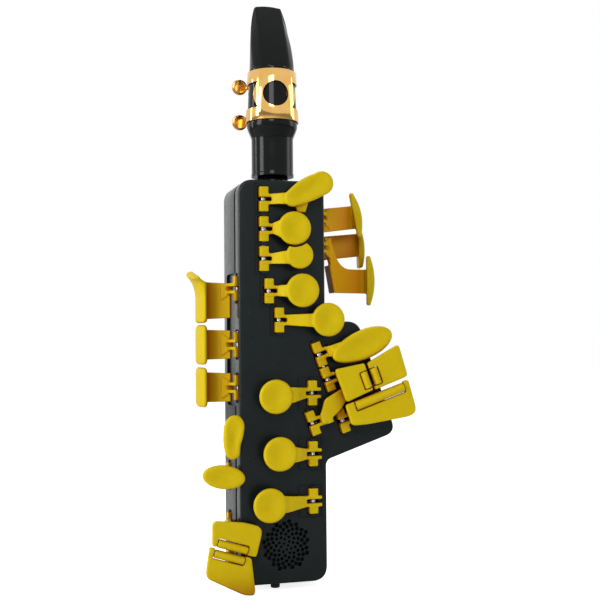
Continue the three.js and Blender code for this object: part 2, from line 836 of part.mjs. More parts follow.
// The window that the roller turns in, open at the plate's edge, with the holes for its pins
function rollerWindow({ long, radius, open }) {
  const half = long / 2 + ROLLER_PLAY;
  const side = radius + ROLLER_PLAY;
  const window = block(
    [open > 0 ? -side : -side - OVERRUN, -OVERRUN, -half],
    [open > 0 ? side + OVERRUN : side, OVERRUN, half],
  );
  const hole = bar(
    ROLLER_PIN + ROLLER_PLAY,
    -half - ROLLER_PIN_LONG,
    half + ROLLER_PIN_LONG,
    PIN_SIDE_COUNT,
  );
  return window.add(hole);
}

const TABLE_FRONT = FRONT - TABLE_LIFT;

// A table plate in the world, cut for its roller
function tablePlate(name) {
  const plan = outline(PLATE_SHARES[name].map(onFront), PLATE_CORNERS[name]);
  const plate = slab(plan, TABLE_FRONT, TABLE_THICK, PAD_EDGE);
  const window = placed(rollerWindow(ROLLERS[name]), rollerFrame(name, TABLE_FRONT + TABLE_THICK / 2));
  return plate.subtract(window);
}

// The C sharp and B flat plates reach back over their own forks
for (const name of ["low_c_sharp", "low_b_flat"]) {
  const hinge = HINGES[name];
  const plate = placed(tablePlate(name), hinge.inverse);
  const level = TABLE_LIFT - PAD_EDGE - AXIS_LIFT;
  const rise = HALF_BARREL + RISE_LONG;
  const reach = rise + RISE_LONG / 2;
  const arm = risingArm(armPlan(0, [reach, 0], FORK_WIDE), 0, rise, reach, level);
  solids["key_" + name] = forked(joined([arm, barrels(), plate]));
}

// The low B arm runs low under the C sharp plate, bends up and carries its plate beyond it
{
  const hinge = HINGES.low_b;
  const plate = placed(tablePlate("low_b"), hinge.inverse);
  const level = UNDER_ARM_LIFT - AXIS_LIFT;
  const points = BENT_ARM_SHARES.map((share) => local(hinge, share));
  const bent = outline([[SLOT_LONG, HALF_FORK], ...points, [SLOT_LONG, -HALF_FORK]], PLATE_CORNER);
  const [rollerX] = local(hinge, ROLLERS.low_b.share);
  const [, cornerZ] = local(hinge, PLATE_SHARES.low_b[3]);
  const riserX = rollerX + EDGE_ROLLER_RADIUS + 2 * ROLLER_PLAY;
  const far = riserX + RISER_LONG;
  const side = new THREE.Shape();
  side.moveTo(0, -PRONG_TOP);
  side.lineTo(SLOT_LONG, -PRONG_TOP);
  side.lineTo(SLOT_LONG + RISE_LONG, -level);
  side.lineTo(far, -level);
  side.lineTo(far, UNDER_ARM_THICK - level);
  side.lineTo(SLOT_LONG + RISE_LONG, UNDER_ARM_THICK - level);
  side.lineTo(HALF_BARREL, -AXIS_LIFT);
  side.lineTo(0, 0);
  side.closePath();
  const bentPlan = slab(bent, -HOUSING_WIDE, 2 * HOUSING_WIDE);
  const flat = column(side, -HOUSING_WIDE, HOUSING_WIDE).intersect(bentPlan);
  const riser = block(
    [riserX, -TABLE_LIFT + AXIS_LIFT + PAD_EDGE, cornerZ + PLATE_CORNER],
    [far, UNDER_ARM_THICK - level, cornerZ + EDGE_ROLLER_LONG],
  );
  const straight = risingArm(
    armPlan(0, [SLOT_LONG + RISE_LONG, 0], FORK_WIDE),
    0,
    SLOT_LONG + RISE_LONG,
    SLOT_LONG + RISE_LONG + PLATE_CORNER,
    level,
  );
  solids.key_low_b = forked(joined([straight, barrels(), flat, riser, plate]));
}

// Side and palm keys: an arm leaves the fork outwards and back, a broad web follows it and ends in the touch

// The section of a web between two points in local x and y
function webSection([x0, y0], [x1, y1], thick) {
  const away = Math.hypot(x1 - x0, y1 - y0);
  const acrossX = ((y1 - y0) / away) * (thick / 2);
  const acrossY = ((x1 - x0) / away) * (thick / 2);
  return outline(
    [
      [x0 + acrossX, y0 - acrossY],
      [x1 + acrossX, y1 - acrossY],
      [x1 - acrossX, y1 + acrossY],
      [x0 - acrossX, y0 + acrossY],
    ],
    0,
  );
}

// The fork's arm for a key that leaves its face outwards, flared where it meets the web
function outArm(end, flareLow = -FLARE_WIDE / 2) {
  const section = outline(
    [
      [-HALF_BARREL, -HALF_BARREL],
      [WEB_START_ALONG - WEB_THICK / 2, -WEB_START_OUT - WEB_THICK],
      [WEB_START_ALONG + WEB_THICK / 2, -WEB_START_OUT - HALF_BARREL],
      [WEB_START_ALONG + WEB_THICK / 2, -WEB_START_OUT],
      [HALF_BARREL, 0],
      [HALF_BARREL, PRONG_LOW],
      [-HALF_BARREL, PRONG_LOW],
    ],
    0,
  );
  const arm = column(section, -HALF_FORK, HALF_FORK);
  const share = FLARE_LONG / Math.hypot(end[0] - WEB_START_ALONG, end[1] + WEB_START_OUT);
  const flareEnd = [
    WEB_START_ALONG + (end[0] - WEB_START_ALONG) * share,
    -WEB_START_OUT + (end[1] + WEB_START_OUT) * share,
  ];
  const flareSection = webSection([WEB_START_ALONG, -WEB_START_OUT], flareEnd, FLARE_THICK);
  const flare = column(flareSection, -FLARE_WIDE / 2, FLARE_WIDE / 2);
  const wedge = slab(
    outline(
      [
        [WEB_START_ALONG - WEB_THICK, HALF_FORK],
        [WEB_START_ALONG - WEB_THICK, -HALF_FORK],
        [flareEnd[0] + WEB_THICK, flareLow],
        [flareEnd[0] + WEB_THICK, FLARE_WIDE / 2],
      ],
      0,
    ),
    -HOUSING_WIDE,
    2 * HOUSING_WIDE,
  );
  return arm.add(flare.intersect(wedge));
}

// The run of a web from the arm to the touch, as its length and its turn about the upright
function webRun(end) {
  const away = [end[0] - WEB_START_ALONG, end[1] + WEB_START_OUT];
  return [Math.hypot(...away), Math.atan2(away[1], away[0])];
}

// An upright web whose side outline is given along its run and in z
function shapedWeb(end, side) {
  const [, turn] = webRun(end);
  const place = new THREE.Matrix4().makeRotationZ(turn);
  place.setPosition(WEB_START_ALONG, -WEB_START_OUT, 0);
  return placed(slab(side, -WEB_THICK / 2, WEB_THICK), place);
}

// The plain side touch: a rounded bar seen from the front, drawn back
function sideTouch(tall) {
  const half = SIDE_TOUCH_THICK / 2;
  const plan = outline(
    [
      [-half, -tall / 2],
      [half, -tall / 2],
      [half, tall / 2],
      [-half, tall / 2],
    ],
    SIDE_TOUCH_CORNER,
  );
  return slab(plan, -SIDE_TOUCH_DEEP / 2, SIDE_TOUCH_DEEP, PAD_EDGE);
}

// The horned touch of the top side key
function hornTouch() {
  const half = SIDE_TOUCH_THICK / 2;
  const shape = new THREE.Shape();
  shape.moveTo(-half, -HORN_DOWN + SIDE_TOUCH_CORNER);
  shape.quadraticCurveTo(-half, -HORN_DOWN, 0, -HORN_DOWN);
  shape.quadraticCurveTo(half, -HORN_DOWN, half, -HORN_DOWN + SIDE_TOUCH_CORNER);
  shape.lineTo(half, HORN_SHOULDER);
  shape.quadraticCurveTo(-HORN_BEND_OUT, HORN_BEND_UP, -HORN_OUT + half, HORN_UP);
  shape.quadraticCurveTo(-HORN_OUT - half, HORN_UP, -HORN_OUT - half, HORN_UP - HORN_THICK / 2);
  shape.quadraticCurveTo(-half, HORN_SIDE_UP, -half, -HORN_THICK);
  shape.closePath();
  const rise = (HORN_UP - HORN_FRONT_UP) / 2;
  const slope = outline(
    [
      [-SIDE_TOUCH_DEEP, HORN_FRONT_UP - rise],
      [SIDE_TOUCH_DEEP, HORN_UP + rise],
      [SIDE_TOUCH_DEEP, 2 * HORN_UP],
      [-SIDE_TOUCH_DEEP, 2 * HORN_UP],
    ],
    0,
  );
  const touch = slab(shape, -SIDE_TOUCH_DEEP / 2, SIDE_TOUCH_DEEP, PAD_EDGE);
  return touch.subtract(beam(slope, -HOUSING_WIDE, HOUSING_WIDE));
}

// A touch made as seen from the front goes to its place by the world, then into the key's frame
function sideTouchPlaced(name, touch, [back, out, up], lean) {
  const hinge = HINGES[name];
  const sideways = hinge.face === LEFT_FACE ? -1 : 1;
  const place = new THREE.Matrix4().makeRotationZ(lean);
  place.setPosition(hinge.at[0] + sideways * out, hinge.at[1] + back, hinge.at[2] + up);
  return placed(placed(touch, place), hinge.inverse);
}

{
  const end = [SIDE_BACK, -SIDE_REACH + SIDE_TOUCH_THICK / 4];
  const [far] = webRun(end);
  const half = SIDE_WEB_TALL / 2;
  const foot = half - SIDE_WEB_TAPER;
  const plain = outline([[0, -foot], [far, -half], [far, half], [0, foot]], 0);
  for (const name of ["side_c", "side_high_e"]) {
    const touch = sideTouchPlaced(name, sideTouch(SIDE_TOUCH_TALL), [SIDE_BACK, SIDE_REACH, 0], SIDE_LEAN);
    solids["key_" + name] = forked(joined([outArm(end), barrels(), shapedWeb(end, plain), touch]));
  }
  const long = SIDE_WEB_TALL - SIDE_WEB_TAPER;
  const horned = outline([[0, -HALF_FORK], [far, -HORN_SHOULDER], [far, SIDE_WEB_TALL], [0, long]], 0);
  const horn = sideTouchPlaced("side_b_flat", hornTouch(), [SIDE_BACK, SIDE_REACH, 0], SIDE_LEAN);
  const arm = outArm(end, -HALF_FORK);
  solids.key_side_b_flat = forked(joined([arm, barrels(), shapedWeb(end, horned), horn]));
}

// Palm keys: lens-shaped touches on long webs

// The lens of a palm touch, seen from the front: flat inside, curved outside
function lens(tall, bulge) {
  const half = tall / 2;
  const shape = new THREE.Shape();
  shape.moveTo(-LENS_TIP / 2, -half + LENS_TIP / 2);
  shape.quadraticCurveTo(-LENS_TIP / 2, -half, 0, -half);
  shape.quadraticCurveTo(LENS_TIP / 2, -half, LENS_TIP / 2, -half + LENS_TIP / 2);
  shape.quadraticCurveTo(bulge, 0, LENS_TIP / 2, half - LENS_TIP / 2);
  shape.quadraticCurveTo(LENS_TIP / 2, half, 0, half);
  shape.quadraticCurveTo(-LENS_TIP / 2, half, -LENS_TIP / 2, half - LENS_TIP / 2);
  shape.closePath();
  return slab(shape, -PALM_TOUCH_DEEP / 2, PALM_TOUCH_DEEP, LENS_EDGE);
}

for (const [name, share] of Object.entries(PALM_SHARES)) {
  const end = [share.back * HOUSING_DEEP, -share.out * HOUSING_WIDE];
  const [low, high, rise] = [share.low, share.high, share.rise].map((part) => part * HOUSING_TALL);
  const bulged = lens(share.tall * HOUSING_TALL, LENS_BULGES[name]);
  const leaned = placed(bulged, new THREE.Matrix4().makeRotationY(-PALM_LEANS[name]));
  const touch = sideTouchPlaced(name, leaned, [end[0], -end[1], share.up * HOUSING_TALL], PALM_TURNS[name]);
  const solidParts = [outArm(end), barrels(), touch];
  const [far] = webRun(end);
  if (name === "palm_f") {
    const edge = (shares) => shares.map(([part, up]) => [part * far, up * BRACE_TOP]);
    const sail = [...edge(BRACE_LOW_EDGE_SHARES), [far, low], [far, high], ...edge(BRACE_HIGH_EDGE_SHARES)];
    const half = BRACE_RIB_THICK / 2;
    const [upper, lower] = BRACE_RIB_SHARES.map((part) => -WEB_START_OUT + part * (end[1] + WEB_START_OUT));
    const rib = outline(
      [
        [upper + half, BRACE_RIB_HIGH],
        [upper - half, BRACE_RIB_HIGH],
        [lower - half, low],
        [lower + half, low],
      ],
      0,
    );
    solidParts.push(shapedWeb(end, outline(sail, 0)));
    solidParts.push(beam(rib, WEB_START_ALONG, WEB_START_ALONG + BRACE_RIB_DEEP));
  } else {
    const side = [[0, low], [far, low + rise], [far, high + rise], [0, high]];
    solidParts.push(shapedWeb(end, outline(side, 0)));
  }
  solids["key_" + name] = forked(joined(solidParts));
}

// Lower left keys: an arm leaves the rear of the left side, runs forward beside it and carries a front touch
const LOW_FRONT = FRONT - LOW_LIFT;

// The touch of a lower left key in the world
function lowTouch(name) {
  if (name === "high_f_sharp") {
    return slab(outline(BEAN_SHARES.map(onFront), BEAN_CORNER), LOW_FRONT, LOW_THICK, PAD_EDGE);
  }
  if (name === "fork_f_sharp") {
    const [x, z] = onFront(OVAL_SHARES);
    const turn = new THREE.Matrix4().makeRotationY(OVAL_LEAN);
    turn.setPosition(x, 0, z);
    return placed(slab(roundOutline([0, 0], [OVAL_LONG, OVAL_SHORT]), LOW_FRONT, LOW_THICK, PAD_EDGE), turn);
  }
  const plan = outline(LOW_PLATE_SHARES[name].map(onFront), LOW_CORNERS[name]);
  const plate = slab(plan, LOW_FRONT, LOW_THICK, PAD_EDGE);
  const frame = rollerFrame(name, LOW_FRONT + LOW_THICK / 2);
  return plate.subtract(placed(rollerWindow(ROLLERS[name]), frame));
}

for (const [name, upShare] of Object.entries(SIDE_ARM_UP_SHARES)) {
  const hinge = HINGES[name];
  const touch = placed(lowTouch(name), hinge.inverse);
  const reach = hinge.at[1] - LOW_FRONT - LOW_THICK / 2;
  const start = [HALF_BARREL + SIDE_ARM_THICK, -SIDE_ARM_NEAR_OUT];
  const section = webSection(start, [reach, -SIDE_ARM_FAR_OUT], SIDE_ARM_THICK);
  const up = upShare * HOUSING_TALL;
  const tall = SIDE_ARM_TALL / 2;
  const side = outline(
    [
      [0, -HALF_FORK],
      [start[0] + SIDE_ARM_THICK, -HALF_FORK],
      [SIDE_ARM_FULL, up - tall],
      [reach + SIDE_ARM_THICK, up - tall],
      [reach + SIDE_ARM_THICK, up + tall],
      [SIDE_ARM_FULL, up + tall],
      [start[0] + SIDE_ARM_THICK, HALF_FORK],
      [0, HALF_FORK],
    ],
    0,
  );
  const arm = column(section, -HOUSING_WIDE, HOUSING_WIDE).intersect(
    slab(side, -HOUSING_WIDE, 2 * HOUSING_WIDE),
  );
  const neck = outline(
    [
      [-HALF_BARREL, -HALF_BARREL],
      [start[0] - SIDE_ARM_THICK, start[1] - SIDE_ARM_THICK / 2],
      [start[0] + SIDE_ARM_THICK, start[1] - SIDE_ARM_THICK / 2],
      [start[0] + SIDE_ARM_THICK, start[1] + SIDE_ARM_THICK / 2],
      [HALF_BARREL, -AXIS_LIFT],
      [HALF_BARREL, PRONG_LOW],
      [-HALF_BARREL, PRONG_LOW],
    ],
    0,
  );
  solids["key_" + name] = forked(joined([column(neck, -HALF_FORK, HALF_FORK), barrels(), arm, touch]));
}

// The octave key under the left thumb, on the back
{
  const level = PAD_LIFT - PAD_EDGE - AXIS_LIFT;
  const pad = [OCTAVE_REACH, 0];
  const arm = risingArm(armPlan(0, pad, ARM_WIDE), 0, OCTAVE_REACH - OCTAVE_LONG, OCTAVE_REACH, level);
  const plan = roundOutline(pad, [OCTAVE_LONG, OCTAVE_SHORT]);
  const touch = slab(plan, AXIS_LIFT - PAD_LIFT, PAD_THICK, PAD_EDGE);
  solids.key_octave = forked(joined([arm, barrels(), touch]));
}

// Housing halves
const BODY_SHAPE = outline(
  [
    [LEFT, 0],
    [RIGHT, 0],
    [RIGHT, HOUSING_TALL],
    [LEFT, HOUSING_TALL],
  ],
  HOUSING_CORNER,
);
const wing = WING_SHARES.map(onFront);
const FRONT_SHAPE = outline(
  [
    [LEFT, 0],
    [RIGHT, 0],
    wing[3],
    wing[2],
    wing[1],
    wing[0],
    [RIGHT, HOUSING_TALL],
    [LEFT, HOUSING_TALL],
  ],
  [
    HOUSING_CORNER,
    HOUSING_CORNER,
    WING_CORNER / 2,
    WING_CORNER,
    WING_CORNER,
    WING_ROOT_ROUND,
    HOUSING_CORNER,
    HOUSING_CORNER,
  ],
);

// Everything in front of or behind the seam
function half(front) {
  const far = HOUSING_TALL;
  return front
    ? block([-far, -far, -far], [far, SEAM, 2 * far])
    : block([-far, SEAM + GAP, -far], [far, far, 2 * far]);
}

const cavityShape = outline(
  [
    [LEFT + WALL, WALL],
    [RIGHT - WALL, WALL],
    [RIGHT - WALL, HOUSING_TALL - WALL],
    [LEFT + WALL, HOUSING_TALL - WALL],
  ],
  HOUSING_CORNER - WALL,
);
const cavity = slab(cavityShape, FRONT + WALL, HOUSING_DEEP - 2 * WALL);
const wingMiddle = [
  (wing[0][0] + wing[1][0] + wing[2][0] + wing[3][0]) / 4,
  (wing[0][1] + wing[1][1] + wing[2][1] + wing[3][1]) / 4,
];
const wingInside = wing.map(([x, z], i) => {
  const [nearX, nearZ] = towards([x, z], wingMiddle, WING_INSET);
  return i === 0 || i === 3 ? [RIGHT - WALL - OVERRUN, nearZ] : [nearX, nearZ];
});
const wingCavity = slab(
  outline(wingInside, [0, WING_CORNER - WALL, WING_CORNER - WALL, 0]),
  FRONT + WALL,
  SEAM - FRONT - WALL - WING_BACK_WALL,
);

let frontShell = slab(FRONT_SHAPE, FRONT, HOUSING_DEEP, HOUSING_EDGE).intersect(half(true));
let backShell = slab(BODY_SHAPE, FRONT, HOUSING_DEEP, HOUSING_EDGE).intersect(half(false));
frontShell = frontShell.subtract(cavity).subtract(wingCavity);
backShell = backShell.subtract(cavity);

const pocketLong = HALF_HINGE + GAP;
const cups = [];
const pockets = [];
const posts = [];
for (const hinge of Object.values(HINGES)) {
  const top = pocketLong + (hinge.open > 0 ? POST_LONG : 0);
  const bottom = pocketLong + (hinge.open < 0 ? POST_LONG : 0);
  const cup = block(
    [-POCKET_HALF - CUP_WALL, 0, -bottom - CUP_WALL],
    [POCKET_HALF + CUP_WALL, POCKET_HALF + CUP_WALL, top + CUP_WALL],
  );
  const pocket = block([-POCKET_HALF, -OVERRUN, -bottom], [POCKET_HALF, POCKET_HALF, top]);
  const sunk = hinge.face === LEFT_FACE || hinge.face === RIGHT_FACE;
  const relief = block(
    [0, -OVERRUN, -HALF_FORK - GAP],
    [POCKET_HALF + RELIEF_LONG, sunk ? RELIEF_DEEP_SIDE : RELIEF_DEEP, HALF_FORK + GAP],
  );
  cups.push([hinge, placed(cup, hinge.matrix)]);
  pockets.push(placed(pocket.add(relief), hinge.matrix));
  for (const side of [1, -1]) {
    if (hinge.open === side) continue;
    const near = side * pocketLong;
    const far = side * (pocketLong + POST_LONG);
    const post = block(
      [-POST_WIDE / 2, -POST_OUT, Math.min(near, far)],
      [POST_WIDE / 2, CUP_WALL, Math.max(near, far)],
    );
    posts.push([hinge, placed(post, hinge.matrix)]);
  }
}

// True for a hinge that the front half carries
function inFront(hinge) {
  return hinge.at[1] < SEAM;
}

const inner = slab(BODY_SHAPE, FRONT + WALL / 2, HOUSING_DEEP - WALL);
const innerFront = inner.add(slab(FRONT_SHAPE, FRONT + WALL / 2, SEAM - FRONT - WALL / 2));
for (const [hinge, cup] of cups) {
  if (inFront(hinge)) {
    frontShell = frontShell.add(cup.intersect(innerFront).intersect(half(true)));
  } else {
    backShell = backShell.add(cup.intersect(inner).intersect(half(false)));
  }
}
for (const pocket of pockets) {
  frontShell = frontShell.subtract(pocket);
  backShell = backShell.subtract(pocket);
}
for (const [hinge, post] of posts) {
  if (inFront(hinge)) {
    frontShell = frontShell.add(post);
  } else {
    backShell = backShell.add(post);
  }
}

// The rods, one for each row of keys on one line
const ROWS = {
  rod_upper: ["front_f", "b", "bis"],
  rod_a: ["a"],
  rod_g: ["g"],
  rod_f: ["f"],
  rod_e: ["e"],
  rod_d: ["d"],
  rod_table: ["g_sharp", "low_c_sharp"],
  rod_low_b: ["low_b"],
  rod_low_b_flat: ["low_b_flat"],
  rod_side: ["side_b_flat", "side_c", "side_high_e"],
  rod_palm_front: ["palm_d", "palm_f"],
  rod_palm_rear: ["palm_e_flat"],
  rod_low_upper: ["high_f_sharp", "fork_f_sharp"],
  rod_low_lower: ["e_flat", "low_c"],
  rod_octave: ["octave"],
};
const rods = {};
for (const [rodName, names] of Object.entries(ROWS)) {
  const base = HINGES[names[0]];
  const places = names.map((name) => {
    const there = new THREE.Vector3(...HINGES[name].at).applyMatrix4(base.inverse);
    return there.z;
  });
  const reach = pocketLong + POST_LONG - ROD_END;
  const low = Math.min(...places) - reach;
  const high = Math.max(...places) + reach;
  rods[rodName] = { base, solid: bar(ROD_RADIUS, low, high) };
  const hole = placed(bar(ROD_RADIUS + ROD_PLAY, low - ROD_HOLE_DEEP, high + ROD_HOLE_DEEP), base.matrix);
  if (inFront(base)) {
    frontShell = frontShell.subtract(hole);
  } else {
    backShell = backShell.subtract(hole);
  }
}

// The panel on the left side that the side keys close on
const panelShape = outline(
  [
    [SEAM - OVERRUN, PANEL_LOW_SHARE * HOUSING_TALL],
    [PANEL_BACK_SHARE * HOUSING_DEEP, PANEL_LOW_SHARE * HOUSING_TALL],
    [PANEL_BACK_SHARE * HOUSING_DEEP, PANEL_HIGH_SHARE * HOUSING_TALL],
    [SEAM - OVERRUN, PANEL_HIGH_SHARE * HOUSING_TALL],
  ],
  [0, PANEL_CORNER, PANEL_CORNER, 0],
);
backShell = backShell.subtract(beam(panelShape, LEFT - OVERRUN, LEFT + PANEL_DEEP));

// Grille holes
{
  const [x, z] = onFront(GRILLE_AT_SHARES);
  const holes = [];
  for (let i = 0; i < GRILLE_HOLE_COUNT; i++) {
    const out = Math.sqrt((i + 0.5) / GRILLE_HOLE_COUNT);
    const turn = i * GOLDEN_TURN_SHARE * 2 * Math.PI;
    const radius = GRILLE_HOLE_INNER + (GRILLE_HOLE_OUTER - GRILLE_HOLE_INNER) * out;
    const away = GRILLE_RADIUS * out;
    holes.push(
      plug(
        radius,
        [x + away * Math.cos(turn), z + away * Math.sin(turn)],
        FRONT - OVERRUN,
        FRONT + WALL + GAP,
        GRILLE_SIDE_COUNT,
      ),
    );
  }
  frontShell = frontShell.subtract(joined(holes));
}

// The neck's hole through both halves, and the power button's hole
const neckHole = bar(
  NECK_RADIUS + GAP,
  HOUSING_TALL - WALL - OVERRUN,
  HOUSING_TALL + OVERRUN,
  ROUND_SIDE_COUNT,
);
frontShell = frontShell.subtract(neckHole);
backShell = backShell.subtract(neckHole);
const buttonHole = bar(BUTTON_RADIUS + GAP, -OVERRUN, WALL + OVERRUN, ROUND_SIDE_COUNT);
const buttonPlace = new THREE.Matrix4().makeTranslation(BUTTON_ACROSS, FRONT + BUTTON_BEHIND_FRONT, 0);
frontShell = frontShell.subtract(placed(buttonHole, buttonPlace));

solids.front_shell = frontShell;
solids.back_shell = backShell;

// Mouthpiece

const SHANK_LOW = HOUSING_TALL + NECK_SHOWS;
const SHANK_TOP = SHANK_LOW + SHANK_TALL;
const BODY_LOW = SHANK_TOP + SHOULDER_TALL;
const BEAK_LOW = BODY_LOW + BODY_TALL;
const TIP = BEAK_LOW + BEAK_TALL;
const BORE_TOP = BODY_LOW + BORE_PAST_SHOULDER;
const WINDOW_LOW = BEAK_LOW - WINDOW_UNDER_BEAK;
const WINDOW_TOP = TIP - TIP_SOLID;
const bodyProfile = [
  [0, SHANK_LOW],
  [SHANK_LIP, SHANK_LOW],
  [SHANK_LIP, SHANK_LOW + LIP_TALL],
  [SHANK_RADIUS, SHANK_LOW + LIP_TALL + LIP_SLOPE],
  [SHANK_RADIUS, SHANK_TOP],
  [(SHANK_RADIUS + BODY_RADIUS) / 2, (SHANK_TOP + BODY_LOW) / 2],
  [BODY_RADIUS, BODY_LOW],
  [BODY_RADIUS, BODY_LOW + LIP_TALL],
  [BEAK_RADIUS, BEAK_LOW],
  [TIP_RADIUS, TIP],
  [0, TIP],
];
const bodyRound = turned(bodyProfile, FINE_SIDE_COUNT);
const beakLong = TIP - BEAK_LOW;
const beakFront = new THREE.Shape();
beakFront.moveTo(-2 * BODY_RADIUS, SHANK_LOW - OVERRUN);
beakFront.lineTo(2 * BODY_RADIUS, SHANK_LOW - OVERRUN);
beakFront.lineTo(2 * BODY_RADIUS, BEAK_LOW);
for (const [wide, up] of BEAK_SHARES) {
  beakFront.lineTo(wide * BEAK_RADIUS, BEAK_LOW + up * beakLong);
}
beakFront.quadraticCurveTo(BEAK_CORNER_SHARE * BEAK_RADIUS, TIP, 0, TIP);
const [lastWide, lastUp] = BEAK_SHARES[BEAK_SHARES.length - 1];
beakFront.quadraticCurveTo(
  -BEAK_CORNER_SHARE * BEAK_RADIUS, TIP,
  -lastWide * BEAK_RADIUS, BEAK_LOW + lastUp * beakLong,
);
for (const [wide, up] of BEAK_SHARES.slice(0, -1).reverse()) {
  beakFront.lineTo(-wide * BEAK_RADIUS, BEAK_LOW + up * beakLong);
}
beakFront.lineTo(-2 * BODY_RADIUS, BEAK_LOW);
beakFront.closePath();

// The mouthpiece from its side: the beak slopes back to the tip, and the reed's table is flat behind
const beakSide = new THREE.Shape();
beakSide.moveTo(-2 * BODY_RADIUS, SHANK_LOW - OVERRUN);
beakSide.lineTo(2 * BODY_RADIUS, SHANK_LOW - OVERRUN);
beakSide.lineTo(2 * BODY_RADIUS, BODY_LOW + LIP_TALL);
beakSide.lineTo(TABLE_BACK, BODY_LOW + LIP_TALL);
beakSide.lineTo(TABLE_BACK, WINDOW_LOW);
beakSide.lineTo(TIP_BACK, TIP);
beakSide.lineTo(TIP_BACK - TIP_THICK, TIP);
beakSide.quadraticCurveTo(-BEAK_RADIUS / 2 + SLOPE_SAG, (BEAK_LOW + TIP) / 2, -BEAK_RADIUS, BEAK_LOW);
beakSide.lineTo(-2 * BODY_RADIUS, BEAK_LOW);
beakSide.closePath();

const beakFrontCut = slab(beakFront, -2 * BODY_RADIUS, 4 * BODY_RADIUS);
const beakSideCut = beam(beakSide, -2 * BODY_RADIUS, 2 * BODY_RADIUS);
const bore = bar(BORE_RADIUS, SHANK_LOW - OVERRUN, BORE_TOP, ROUND_SIDE_COUNT);
const throat = bar(THROAT_RADIUS, BORE_TOP - OVERRUN, WINDOW_LOW + OVERRUN, ROUND_SIDE_COUNT);
const chamber = new THREE.Shape();
chamber.moveTo(-THROAT_RADIUS / 2, WINDOW_LOW);
chamber.lineTo(TABLE_BACK + OVERRUN, WINDOW_LOW);
chamber.lineTo(TABLE_BACK + OVERRUN, WINDOW_TOP);
chamber.lineTo(TIP_BACK - TIP_THICK, WINDOW_TOP);
chamber.closePath();
solids.mouthpiece = bodyRound
  .intersect(beakFrontCut)
  .intersect(beakSideCut)
  .subtract(bore)
  .subtract(throat)
  .subtract(beam(chamber, -WINDOW_WIDE / 2, WINDOW_WIDE / 2));

// Reed: the round behind the table, thinned to the tip
const REED_LOW = BODY_LOW + REED_ABOVE_SHOULDER;
const REED_VAMP_LOW = BEAK_LOW + REED_VAMP_UP;
const reedSide = new THREE.Shape();
reedSide.moveTo(TABLE_BACK + GAP, REED_LOW);
reedSide.lineTo(BODY_RADIUS + OVERRUN, REED_LOW);
reedSide.lineTo(BODY_RADIUS + OVERRUN, REED_VAMP_LOW);
reedSide.lineTo(BEAK_RADIUS, REED_VAMP_LOW);
reedSide.lineTo(TABLE_BACK + GAP + REED_TIP_THICK, TIP - REED_TIP_THICK);
reedSide.lineTo(TABLE_BACK + GAP, TIP - REED_TIP_THICK);
reedSide.closePath();
solids.reed = bodyRound
  .intersect(beakFrontCut)
  .intersect(beam(reedSide, -REED_WIDE / 2, REED_WIDE / 2));

// Ligature
const LIGATURE_LOW = BODY_LOW + LIGATURE_ABOVE_SHOULDER;
const LIGATURE_TOP = BEAK_LOW - LIGATURE_UNDER_BEAK;
const ligatureMiddle = (LIGATURE_LOW + LIGATURE_TOP) / 2;

// The mouthpiece's radius at a height on its body
function bodyRadius(z) {
  const share = (z - BODY_LOW - LIP_TALL) / (BEAK_LOW - BODY_LOW - LIP_TALL);
  return BODY_RADIUS + (BEAK_RADIUS - BODY_RADIUS) * share;
}

let ligature = turned(
  [
    [bodyRadius(LIGATURE_LOW) + GAP, LIGATURE_LOW],
    [bodyRadius(LIGATURE_LOW) + GAP + LIGATURE_THICK, LIGATURE_LOW],
    [bodyRadius(LIGATURE_TOP) + GAP + LIGATURE_THICK, LIGATURE_TOP],
    [bodyRadius(LIGATURE_TOP) + GAP, LIGATURE_TOP],
    [bodyRadius(LIGATURE_LOW) + GAP, LIGATURE_LOW],
  ],
  FINE_SIDE_COUNT,
);
const lugs = [];
for (const side of [-1, 1]) {
  for (const [low, high] of [
    [LIGATURE_LOW, LIGATURE_LOW + LUG_TALL],
    [LIGATURE_TOP - LUG_TALL, LIGATURE_TOP],
  ]) {
    const near = (side * LUG_SLIT) / 2;
    const far = side * (LUG_SLIT / 2 + LUG_THICK);
    const start = bodyRadius((low + high) / 2) + GAP + LIGATURE_THICK / 2;
    lugs.push(block([Math.min(near, far), start, low], [Math.max(near, far), LUG_OUT, high]));
  }
}
const windows = [];
for (const side of [-1, 1]) {
  windows.push(
    block(
      [Math.min(0, side * 2 * BODY_RADIUS), -2 * BODY_RADIUS, LIGATURE_LOW + LIGATURE_BAND],
      [Math.max(0, side * 2 * BODY_RADIUS), LIGATURE_BACK, LIGATURE_TOP - LIGATURE_BAND],
    ),
  );
}
const turnLigature = new THREE.Matrix4().makeRotationZ(LIGATURE_TURN);
const ringKeep = plug(LIGATURE_RING, [0, ligatureMiddle], -3 * BODY_RADIUS, 0);
const ringHole = plug(LIGATURE_HOLE, [0, ligatureMiddle], -2 * BODY_RADIUS, 0);
ligature = ligature
  .add(joined(lugs))
  .subtract(placed(joined(windows).subtract(ringKeep), turnLigature))
  .subtract(placed(ringHole, turnLigature))
  .subtract(block([-LUG_SLIT / 2, 0, 0], [LUG_SLIT / 2, 2 * LUG_OUT, 2 * TIP]));
const screwHeights = {
  ligature_screw_upper: LIGATURE_TOP - SCREW_UP,
  ligature_screw_lower: LIGATURE_LOW + SCREW_LOW,
};
const turnAcross = new THREE.Matrix4().makeRotationY(QUARTER_TURN);
const screws = {};
